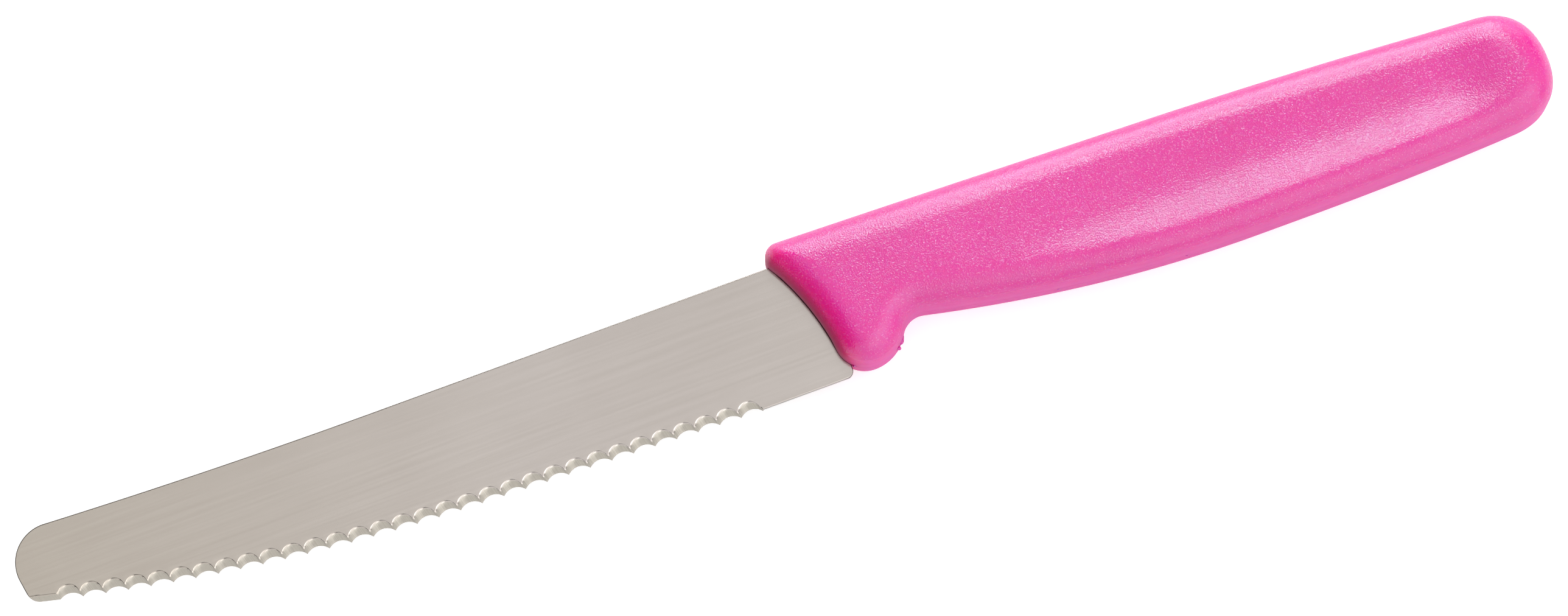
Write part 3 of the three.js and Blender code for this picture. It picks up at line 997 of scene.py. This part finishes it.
    def plan_rows(self) -> Array:
        """Points of the plan for the rows and columns of the blade's mesh.

        Returns:
            An array of rows by columns by 2. Row 0 is the lower outline and the last row the upper
            one. Column 0 is the rear of the heel and the last column the foot of the nose.
        """
        feet, runs, first_run = self.feet()
        angles = self.edge_at(runs)[1]
        columns = []
        for index, (foot, top) in enumerate(zip(feet, self.top_points(feet))):
            low = np.array(self.LOW_ROWS)
            ahead = np.array([0.0, 1.0])
            if first_run <= index < first_run + len(runs):
                angle = angles[index - first_run]
                ahead = np.array([math.sin(angle), math.cos(angle)])
                low = self.hollow_column(runs[index - first_run])
            elif index >= first_run + len(runs):
                length = np.linalg.norm(top - foot)
                ahead = (top - foot) / length
                low = low * min(1.0, length / self.roomy_column)
            lower = foot + low[:, None] * ahead
            columns.append(np.concatenate([lower, self.upper_rows(lower[-1], top)]))
        return np.stack(columns, axis=1)

    def top_points(self, feet: Array) -> Array:
        """Where each column of the mesh ends on the spine or on the nose round.

        Args:
            feet: Where the columns start.

        Returns:
            The point at the top of each column.
        """
        tops = np.stack([feet[:, 0], self.spine_at(feet[:, 0])], axis=1)
        on_nose = int(np.argmax(feet[:, 0] < self.nose.x))
        tops[on_nose:] = self.nose.arc(math.pi / 2, self.nose_angle, len(feet) - on_nose - 1)
        return tops

    def upper_rows(self, start: Array, top: Array) -> Array:
        """Rows from the last lower row up to the spine, crowded where the spine is rolled.

        Args:
            start: The column's point on the last lower row.
            top: Its point on the outline.

        Returns:
            The column's points on the upper rows.
        """
        length = np.linalg.norm(top - start)
        ahead = (top - start) / length
        crowded = min(self.SPINE_ROWS[0], length / self.roomy_column)
        shares = np.array(self.UPPER_SHARES) * (length - crowded)
        near = length - np.array(self.SPINE_ROWS) * crowded / self.SPINE_ROWS[0]
        return start + np.concatenate([shares, near])[:, None] * ahead

    def build(self, plan: Plan, material: bpy.types.Material) -> bpy.types.Object:
        """Models the blade.

        Args:
            plan: Where the knife lies.
            material: The blade's finish.

        Returns:
            The blade's object.
        """
        places = self.plan_rows()
        flat = places.reshape(-1, 2)
        ground = self.heights(flat, Face.GROUND)
        plain = self.heights(flat, Face.PLAIN)
        bm = bmesh.new()
        mask = bm.verts.layers.float.new(self.GROUND)
        grind_run = bm.verts.layers.float.new(self.GRIND_RUN)
        edge_shade_layer = bm.verts.layers.float.new(self.EDGE_SHADE)
        front = np.concatenate([flat, ground[:, None]], axis=1).reshape(*places.shape[:2], 3)
        rear = np.concatenate([flat, plain[:, None]], axis=1).reshape(*places.shape[:2], 3)
        front_verts = lay_grid(bm, front)
        cut = smoothstep(self.thickness / 2 - self.grind_heights(flat), 0.0, self.shoulder_mark)
        climb = self.bevel_lean * (ground / self.thickness + 0.5)
        # Painted shade mask: 1 on the stamped spine, nose and heel edges, fading inwards.
        dull = np.minimum(self.stamped_inset(flat), self.rear_inset(flat))
        edge_shade_share = 1 - smoothstep(dull, self.edge_shade_band / 2, self.edge_shade_band)
        for vert, share, along, stamped in zip(front_verts, cut, -flat[:, 0] - climb, edge_shade_share):
            vert[mask] = share
            vert[grind_run] = along
            vert[edge_shade_layer] = stamped
        rim = [edge for edge in bm.edges if edge.is_boundary]
        wall = bmesh.ops.extrude_edge_only(bm, edges=rim)["geom"]
        wall_verts = [item for item in wall if isinstance(item, bmesh.types.BMVert)]
        wall_places = np.array([vert.co.xy for vert in wall_verts]) / MM
        for vert, height in zip(wall_verts, self.heights(wall_places, Face.PLAIN)):
            vert.co.z = height * MM
        lay_grid(bm, rear)
        seal(bm)
        self.draw_out_tang(bm)
        bmesh.ops.translate(bm, verts=bm.verts[:], vec=plan.origin)
        return to_object(bm, "blade_sheet", material)

    def draw_out_tang(self, bm: bmesh.types.BMesh) -> None:
        """Extrudes the middle of the heel's rear wall into the tang.

        Args:
            bm: The blade's closed mesh.
        """
        low = (-self.tang_drop - self.tang_depth - self.tang_margin) * MM
        high = (self.tang_margin - self.tang_drop) * MM
        rear = (self.heel_setback - self.tang_margin) * MM
        faces = [
            face for face in bm.faces
            if face.normal.x > self.rear_facing and face.calc_center_median().x > rear
            and all(low < vert.co.y < high for vert in face.verts)
        ]
        made = bmesh.ops.extrude_face_region(bm, geom=faces)["geom"]
        verts = [item for item in made if isinstance(item, bmesh.types.BMVert)]
        bmesh.ops.delete(bm, geom=faces, context="FACES")
        bmesh.ops.translate(bm, verts=verts, vec=((self.tang_end - self.heel_setback) * MM, 0, 0))


# Handle


@dataclass
class Handle:
    """One plastic moulding: the grip with its finger guard and notch, scooped on both flanks."""

    length: float = 106.95
    thickness: float = 12.4
    top_rise: float = 2.5
    top_slope: float = 1.5
    top_straight: float = 50.0
    top_sweep: float = 950.0
    crown_radius: float = 1.9
    front_radius: float = 35.0
    front_lean: float = 30.8
    guard_drop: float = 4.55
    guard_nose_radius: float = 4.2
    notch_radius: float = 3.1
    notch_end: float = 17.4
    belly_depth: float = 17.87
    belly_first: float = 63.0
    belly_second: float = 70.0
    belly_front_sweep: float = 200.0
    belly_rear_sweep: float = 620.0
    butt_round: float = 7.2
    butt_middle: float = 9.8
    butt_top_fullness: float = 0.62
    butt_foot_fullness: float = 0.64
    edge_round: float = 4.0
    edge_softness: float = 1.0
    scoop_depth: float = 1.0
    scoop_line: float = 10.2
    scoop_fold: float = 2.0
    scoop_upper_slope: float = 0.05
    scoop_ramp_slope: float = 0.22
    scoop_start: float = 14.0
    scoop_full: float = 52.0
    scoop_fade_length: float = 11.0
    scoop_end_margin: float = 4.0
    mouth_undercut: float = 0.12
    parting_ridge: float = 0.012
    parting_width: float = 0.08
    head_turn: float = 33.0
    arc_steps: int = 16
    head_ribs: int = 32
    body_ribs: int = 64
    round_steps: int = 16
    inner_steps: int = 6
    rim_falloff: int = 8
    rim_sample: float = 0.05
    rim_batches: int = 40
    least_square: float = 1e-9
    rib_slant: float = 0.4
    rib_share: float = 0.9
    undercut_ease: float = 0.12

    @cached_property
    def front(self) -> Circle:
        """The hollow front edge."""
        lean, radius = math.radians(self.front_lean), self.front_radius
        return Circle(-radius * math.cos(lean), -radius * math.sin(lean), radius)

    @cached_property
    def crown(self) -> Circle:
        """The upper front corner."""
        return self.front.beside(self.top_rise - self.crown_radius, self.crown_radius)

    @cached_property
    def butt_start(self) -> float:
        """Where the rounded butt begins."""
        return self.length - self.butt_round

    def top_at(self, x: Array) -> Array:
        """Height of the back of the handle."""
        fall = math.tan(math.radians(self.top_slope)) * (x - self.crown.x)
        return self.top_rise - fall - np.maximum(0, x - self.top_straight) ** 2 / (2 * self.top_sweep)

    def belly_at(self, x: Array) -> Array:
        """Height of the belly, level in the middle and swept up to both ends.

        Args:
            x: Places along the handle.

        Returns:
            The height at each place.
        """
        front = np.maximum(0, self.belly_first - x) ** 2 / (2 * self.belly_front_sweep)
        rear = np.maximum(0, x - self.belly_second) ** 2 / (2 * self.belly_rear_sweep)
        return front + rear - self.belly_depth

    @cached_property
    def notch_normal(self) -> float:
        """Direction from the notch's centre to where it runs out into the belly."""
        return math.pi / 2 - math.atan((self.belly_first - self.notch_end) / self.belly_front_sweep)

    @cached_property
    def notch(self) -> Circle:
        """The finger notch behind the guard.

        Returns:
            The circle that the notch follows, touching the belly at its end.
        """
        x = self.notch_end - self.notch_radius * math.cos(self.notch_normal)
        y = float(self.belly_at(self.notch_end)) - self.notch_radius * math.sin(self.notch_normal)
        return Circle(x, y, self.notch_radius)

    @cached_property
    def guard_floor(self) -> float:
        """Height of the lowest point of the finger guard."""
        return float(self.belly_at(self.notch_end)) - self.guard_drop

    @cached_property
    def guard_nose(self) -> Circle:
        """The round between the front edge and the guard's lowest point."""
        return self.front.beside(self.guard_floor + self.guard_nose_radius, self.guard_nose_radius)

    @cached_property
    def guard_rear(self) -> Circle:
        """The round from the guard's lowest point to the notch, touching both.

        Returns:
            The circle that the round follows.
        """
        across = self.notch.x - self.guard_nose.x
        above = self.notch.y - self.guard_floor
        radius = (across**2 + above**2 - self.notch_radius**2) / (2 * (self.notch_radius + above))
        return Circle(self.guard_nose.x, self.guard_floor + radius, radius)

    def butt_quarter(self, y: float, slope: float, fullness: float) -> Array:
        """A quarter of the butt, from the end of the back or belly to the rearmost point.

        Args:
            y: Height of the back or belly at its end.
            slope: Its slope there.
            fullness: Length of the curve's two arms, as a share of the butt's size.

        Returns:
            The curve's points.
        """
        pull = fullness * self.butt_round
        return bezier([
            (self.butt_start, y),
            (self.butt_start + pull, y + slope * pull),
            (self.length, fullness * (y + self.butt_middle) - self.butt_middle),
            (self.length, -self.butt_middle),
        ], 2 * self.arc_steps)

    def long_places(self, start: float) -> Array:
        """Places of the ribs along the back or the belly."""
        head = evenly(start, self.head_turn, self.head_ribs)
        return np.concatenate([head, evenly(self.head_turn, self.butt_start, self.body_ribs)])

    @cached_property
    def upper(self) -> Array:
        """Outline from the guard up the front edge and along the back to the butt.

        Returns:
            The outline's points, as many as the lower outline has.
        """
        meeting = self.front.angle_to(self.crown)
        x = self.long_places(self.crown.x)
        return np.concatenate([
            self.front.arc(self.front.angle_to(self.guard_nose), meeting, self.arc_steps),
            self.crown.arc(meeting + math.pi, math.pi / 2, self.arc_steps)[1:],
            np.stack([x, self.top_at(x)], axis=1),
        ])

    @cached_property
    def lower(self) -> Array:
        """Outline from the guard through the notch and along the belly to the butt.

        Returns:
            The outline's points, as many as the upper outline has.
        """
        meeting = self.guard_rear.angle_to(self.notch)
        x = self.long_places(self.notch_end)
        return np.concatenate([
            self.guard_rear.arc(-math.pi / 2, meeting, self.arc_steps),
            self.notch.arc(meeting + math.pi, self.notch_normal, self.arc_steps)[1:],
            np.stack([x, self.belly_at(x)], axis=1),
        ])

    @cached_property
    def middle(self) -> Array:
        """Line that the flank's ribs end on: up from the guard, then halfway along the handle.

        Returns:
            The line's points, one for each point of the two outlines.
        """
        halfway = (self.upper + self.lower) / 2
        turn = 2 * self.arc_steps + self.head_ribs
        bend_y = float(self.top_at(self.notch_end) + self.belly_at(self.notch_end)) / 2
        head = bezier(
            [(self.guard_nose.x, self.guard_nose.y), (self.guard_nose.x, bend_y), halfway[turn]], turn
        )
        return np.concatenate([head[:turn], halfway[turn:]])

    def ribs(self) -> tuple[Array, Array]:
        """The flank's ribs, anticlockwise round it.

        Returns:
            The end of each rib on the rim, and its root on the middle line.
        """
        start = self.butt_start
        back_sweep = (start - self.top_straight) / self.top_sweep
        back_slope = -math.tan(math.radians(self.top_slope)) - back_sweep
        belly_slope = (start - self.belly_second) / self.belly_rear_sweep
        foot = self.butt_quarter(float(self.belly_at(start)), belly_slope, self.butt_foot_fullness)
        head = self.butt_quarter(float(self.top_at(start)), back_slope, self.butt_top_fullness)
        butt = np.concatenate([foot[1:], head[-2:0:-1]])
        guard_start = self.guard_nose.angle_to(self.front) % (2 * math.pi)
        guard = self.guard_nose.arc(guard_start, 1.5 * math.pi, self.arc_steps)[1:-1]
        rim = np.concatenate([self.lower, butt, self.upper[::-1], guard])
        roots = np.concatenate([
            self.middle,
            np.repeat(self.middle[-1:], len(butt), axis=0),
            self.middle[::-1],
            np.repeat(self.middle[:1], len(guard), axis=0),
        ])
        return rim, roots

    def inset_at(self, places: Array, rim: Array) -> Array:
        """Distance in from the rim, eased where two runs of the rim come close.

        Args:
            places: Points of the plan.
            rim: The closed rim.

        Returns:
            The eased distance of each point.
        """
        ahead = np.roll(rim, -1, axis=0) - rim
        counts = np.ceil(np.hypot(ahead[:, 0], ahead[:, 1]) / self.rim_sample).astype(int)
        shares = np.concatenate([(np.arange(count) + 0.5) / count for count in counts])
        bits = np.repeat(rim, counts, axis=0) + shares[:, None] * np.repeat(ahead, counts, axis=0)
        lengths = np.repeat(np.hypot(ahead[:, 0], ahead[:, 1]) / counts, counts)
        straight = math.pi
        for step in range(2, self.rim_falloff - 1, 2):
            straight *= (step - 1) / step
        pull = np.zeros(len(places))
        batches = (np.array_split(items, self.rim_batches) for items in (bits, lengths))
        for bit, length in zip(*batches):
            squared = ((places[:, None, :] - bit[None, :, :]) ** 2).sum(axis=2)
            squared = np.maximum(squared, self.least_square)
            pull += (length / squared ** (self.rim_falloff / 2)).sum(axis=1)
        return (straight / pull) ** (1 / (self.rim_falloff - 1))

    def flank_at(self, places: Array) -> Array:
        """Half thickness of the handle before its edges are rounded.

        Args:
            places: Points of the plan.

        Returns:
            The half thickness at each point.
        """
        x, y = places[..., 0], places[..., 1]
        end = self.length - self.scoop_end_margin
        strength = smoothstep(x, self.scoop_start, self.scoop_full)
        strength = strength - smoothstep(x, end - self.scoop_fade_length, end)
        across = y + self.scoop_line
        lean = (self.scoop_upper_slope - self.scoop_ramp_slope) / 2
        bend = (self.scoop_upper_slope + self.scoop_ramp_slope) / 2
        rise = lean * across + bend * (np.hypot(across, self.scoop_fold) - self.scoop_fold)
        return self.thickness / 2 - strength * (self.scoop_depth - rise)

    def undercut_at(self, rim: Array) -> Array:
        """How far the foot of the wall recedes along the front edge, where the blade leaves it.

        Args:
            rim: The closed rim.

        Returns:
            The distance at each point of the rim.
        """
        offset = rim - np.array([self.front.x, self.front.y])
        on_front = np.hypot(offset[:, 0], offset[:, 1]) < self.front.radius + WELD
        low, high = self.front.angle_to(self.guard_nose), self.front.angle_to(self.crown)
        share = (np.arctan2(offset[:, 1], offset[:, 0]) - low) / (high - low)
        ease = self.undercut_ease
        ends = smoothstep(share, 0.0, ease) * (1 - smoothstep(share, 1 - ease, 1.0))
        return np.where(on_front, self.mouth_undercut * ends, 0.0)

    def shell_rows(self) -> Array:
        """Points of the upper half of the handle, from the parting line to the middle line.

        Returns:
            An array of rows by columns by 3, whose last column repeats the first.
        """
        rim, roots = self.ribs()
        forward = np.roll(rim, -1, axis=0) - np.roll(rim, 1, axis=0)
        forward = forward / np.linalg.norm(forward, axis=1, keepdims=True)
        inward = np.stack([-forward[:, 1], forward[:, 0]], axis=1)
        length = np.linalg.norm(roots - rim, axis=1)
        along = (roots - rim) / length[:, None]
        squareness = np.maximum((along * inward).sum(axis=1), self.rib_slant)
        reach = np.minimum(self.edge_round / squareness, self.rib_share * length)
        turns = evenly(0, math.pi / 2, self.round_steps)
        steps = [reach * (1 - math.cos(turn)) for turn in turns]
        steps += [reach + (length - reach) * share for share in evenly(0, 1, self.inner_steps)]
        places = rim[None] + np.stack(steps)[:, :, None] * along[None]
        inset = self.inset_at(places.reshape(-1, 2), rim).reshape(places.shape[:2])
        heights = self.flank_at(places) - quarter_drop(inset, self.edge_round, self.edge_softness)
        wall = self.flank_at(rim) - self.edge_round
        foot = rim + inward * self.undercut_at(rim)[:, None]
        rows = [
            np.column_stack([foot - inward * self.parting_ridge, np.zeros(len(rim))]),
            np.column_stack([foot, np.full(len(rim), self.parting_width)]),
            np.column_stack([(foot + rim) / 2, wall / 2]),
            np.column_stack([rim, wall]),
        ]
        rows += [np.column_stack([place, height]) for place, height in zip(places, heights)]
        shell = np.stack(rows)
        return np.concatenate([shell, shell[:, :1]], axis=1)

    def build(self, plan: Plan, material: bpy.types.Material) -> bpy.types.Object:
        """Models the handle.

        Args:
            plan: Where the knife lies.
            material: The handle's finish.

        Returns:
            The handle's object.
        """
        bm = bmesh.new()
        lay_grid(bm, self.shell_rows())
        bmesh.ops.remove_doubles(bm, verts=bm.verts[:], dist=WELD)
        half = bm.verts[:] + bm.edges[:] + bm.faces[:]
        bmesh.ops.mirror(bm, geom=half, matrix=Matrix.Identity(4), merge_dist=WELD, axis="Z")
        seal(bm)
        bmesh.ops.translate(bm, verts=bm.verts[:], vec=plan.origin)
        return to_object(bm, "handle_moulding", material)


# Small leftovers of the moulding


@dataclass(frozen=True)
class LumpSize:
    """Size of a small lump of plastic: half its extents, its lift out of the surface and its level."""

    length: float
    height: float
    depth: float
    lift: float
    level: float = 0.0


@dataclass(frozen=True)
class Nib:
    """One small lump of plastic that stands out of the handle's surface."""

    UNEVENNESS = 0.14
    WAVES = (3.1, 2.7)
    PHASE_PER_MM = 2.0
    FINENESS = 3

    x: float
    y: float
    facing: float
    size: LumpSize

    def build(self, bm: bmesh.types.BMesh) -> None:
        """Adds the lump, slightly uneven, with its lower part inside the handle.

        Args:
            bm: The mesh that the lump is added to.
        """
        made = bmesh.ops.create_icosphere(bm, subdivisions=self.FINENESS, radius=1)["verts"]
        first, second = self.WAVES
        phase = self.PHASE_PER_MM * self.x
        for vert in made:
            wave = math.sin(first * vert.co.x + phase) * math.sin(second * vert.co.y + vert.co.z)
            vert.co *= 1 + self.UNEVENNESS * wave
        size = self.size
        bmesh.ops.scale(bm, verts=made, vec=Vector((size.height, size.length, size.depth)) * MM)
        bmesh.ops.translate(bm, verts=made, vec=((size.lift - size.height) * MM, 0, 0))
        bmesh.ops.rotate(bm, verts=made, cent=(0, 0, 0), matrix=Matrix.Rotation(self.facing, 3, "Z"))
        bmesh.ops.translate(bm, verts=made, vec=Vector((self.x, self.y, size.level)) * MM)


@dataclass
class MouldingNibs:
    """Stub of the injection gate behind the guard, and nibs on the parting line."""

    handle: Handle
    gate_angle: float = -41.4
    gate_foot_angle: float = -52.8
    flash_angle: float = -130.2
    belly_places: tuple[float, float] = (35.2, 52.7)
    gate: LumpSize = LumpSize(length=0.75, height=0.5, depth=0.6, lift=0.30, level=0.2)
    gate_foot: LumpSize = LumpSize(length=0.36, height=0.6, depth=0.45, lift=0.45, level=0.3)
    flash: LumpSize = LumpSize(length=0.3, height=0.3, depth=0.25, lift=0.16, level=0.45)
    belly_nib: LumpSize = LumpSize(length=0.3, height=0.2, depth=0.2, lift=0.09)

    def nibs(self) -> list[Nib]:
        """Each lump, set on the handle's outline.

        Returns:
            The lumps at the guard, then those on the belly.
        """
        at_guard = (
            (self.handle.guard_rear, self.gate_angle, self.gate),
            (self.handle.guard_rear, self.gate_foot_angle, self.gate_foot),
            (self.handle.guard_nose, self.flash_angle, self.flash),
        )
        result = []
        for circle, degrees, size in at_guard:
            facing = math.radians(degrees)
            result.append(Nib(*circle.arc(facing, facing, 1)[0], facing, size))
        for x in self.belly_places:
            result.append(Nib(x, float(self.handle.belly_at(x)), -math.pi / 2, self.belly_nib))
        return result

    def build(self, plan: Plan, material: bpy.types.Material) -> bpy.types.Object:
        """Models the lumps as one piece.

        Args:
            plan: Where the knife lies.
            material: The handle's finish.

        Returns:
            The lumps' object.
        """
        bm = bmesh.new()
        for nib in self.nibs():
            nib.build(bm)
        seal(bm)
        bmesh.ops.translate(bm, verts=bm.verts[:], vec=plan.origin)
        return to_object(bm, "moulding_nibs", material)


# Studio


@dataclass(frozen=True)
class StudioCamera:
    """The photograph's view: almost straight down on the lying knife."""

    target: tuple[float, float, float] = (0.17, -5.675, 0.0)
    turn: float = 20.351
    tilt: float = 10.0
    distance: float = 1000.0
    pixels_per_mm: float = 12.4
    frame_width: int = 2576
    sensor: float = 36.0
    clip: tuple[float, float] = (0.05, 20.0)

    def build(self, plan: Plan) -> bpy.types.Object:
        """Makes the camera and hands it to the scene.

        Args:
            plan: Where the knife lies.

        Returns:
            The camera.
        """
        turn, tilt = math.radians(self.turn), math.radians(self.tilt)
        right = Vector((math.cos(turn), -math.sin(turn), 0))
        away = Vector((math.sin(turn), math.cos(turn), 0))
        up = away * math.cos(tilt) + Vector((0, 0, math.sin(tilt)))
        back = right.cross(up)
        data = bpy.data.cameras.new("studio_camera")
        data.sensor_width = self.sensor
        data.lens = self.pixels_per_mm * self.distance * self.sensor / self.frame_width
        data.clip_start, data.clip_end = self.clip
        camera = bpy.data.objects.new("studio_camera", data)
        place = plan.point(*self.target) + back * self.distance * MM
        camera.matrix_world = Matrix.Translation(place) @ Matrix((right, up, back)).transposed().to_4x4()
        bpy.context.scene.collection.objects.link(camera)
        bpy.context.scene.camera = camera
        return camera


class LightRole(Enum):
    """What each lamp of the studio does."""

    WINDOW = "window"
    REAR = "rear"
    UPPER = "upper"
    OVERHEAD = "overhead"
    SIDE = "side"
    FILL = "fill"
    FRONT = "front"
    LEFT = "left"


@dataclass(frozen=True)
class SoftBox:
    """A rectangular lamp that faces the knife, as bright all over."""

    role: LightRole
    azimuth: float
    elevation: float
    width: float
    height: float
    radiance: float
    distance: float = 1.5

    def build(self) -> bpy.types.Object:
        """Makes the lamp. Its azimuth is counted from +X towards +Y.

        Returns:
            The lamp.
        """
        azimuth, elevation = math.radians(self.azimuth), math.radians(self.elevation)
        back = Vector((
            math.cos(azimuth) * math.cos(elevation),
            math.sin(azimuth) * math.cos(elevation),
            math.sin(elevation),
        ))
        name = f"softbox_{self.role.value}"
        data = bpy.data.lights.new(name, "AREA")
        data.shape = "RECTANGLE"
        data.size, data.size_y = self.width, self.height
        data.energy = math.pi * self.width * self.height * self.radiance
        lamp = bpy.data.objects.new(name, data)
        lamp.location = back * self.distance
        lamp.rotation_mode = "QUATERNION"
        lamp.rotation_quaternion = (-back).to_track_quat("-Z", "Y")
        bpy.context.scene.collection.objects.link(lamp)
        return lamp


@dataclass(frozen=True)
class Studio:
    """Pale floor, soft lamps and the dim room round them."""

    floor_size: float = 6.0
    floor_tiles: int = 4
    room_colour: Colour = (1.0, 1.0, 1.0, 1.0)
    room_strength: float = 0.04
    lamps: tuple[SoftBox, ...] = (
        SoftBox(LightRole.WINDOW, azimuth=74.6, elevation=22.5, width=0.53, height=1.15, radiance=3.7),
        SoftBox(LightRole.REAR, azimuth=64.6, elevation=22.5, width=2.1, height=1.15, radiance=2.1),
        SoftBox(LightRole.UPPER, azimuth=67.6, elevation=58.0, width=0.6, height=0.32, radiance=12.0),
        SoftBox(LightRole.OVERHEAD, azimuth=-101.0, elevation=86.0, width=1.5, height=1.0, radiance=1.11),
        SoftBox(LightRole.SIDE, azimuth=-10.4, elevation=38.0, width=1.2, height=1.7, radiance=1.1),
        SoftBox(LightRole.FILL, azimuth=-60.4, elevation=36.0, width=1.4, height=2.0, radiance=1.8),
        SoftBox(LightRole.FRONT, azimuth=-118.4, elevation=27.0, width=1.7, height=1.5, radiance=1.1),
        SoftBox(LightRole.LEFT, azimuth=138.0, elevation=28.0, width=1.4, height=1.2, radiance=0.5),
    )

    def build(self) -> None:
        """Lays the floor and hangs the lamps."""
        bm = bmesh.new()
        tiles = self.floor_tiles
        bmesh.ops.create_grid(bm, x_segments=tiles, y_segments=tiles, size=self.floor_size / 2)
        floor = to_object(bm, "pale_floor", StudioFloor().material())
        for lamp in self.lamps:
            lamp.build()
        world = bpy.data.worlds.new("studio_room")
        world.use_nodes = True
        background = world.node_tree.nodes["Background"]
        background.inputs["Color"].default_value = self.room_colour
        background.inputs["Strength"].default_value = self.room_strength
        bpy.context.scene.world = world
        bpy.context.scene.view_settings.view_transform = "Standard"


# Knife


def settle(piece: bpy.types.Object, node: str | None = None) -> None:
    """Ties a finished piece to the frame and reports it.

    Args:
        piece: The piece.
        node: The node that it stands for, if any.
    """
    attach(piece, "root")
    if node is not None:
        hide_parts(node)
    LOG.info("%s: %d vertices, %d faces", piece.name, len(piece.data.vertices), len(piece.data.polygons))


def main() -> None:
    """Builds the camera, the studio and each piece of the knife."""
    logging.basicConfig(level=logging.INFO, format="%(name)s %(message)s")
    handle = Handle()
    blade = Blade()
    plan = Plan.from_frame(handle)
    StudioCamera().build(plan)
    Studio().build()
    effects = SharedEffects.build()
    steel = BrushedSteel().material(effects, handle, plan)
    plastic = MouldedPlastic().material(effects, handle.front, plan)
    settle(blade.build(plan, steel), "blade")
    settle(handle.build(plan, plastic), "handle")
    settle(MouldingNibs(handle).build(plan, plastic))


if __name__ == "__main__":
    main()
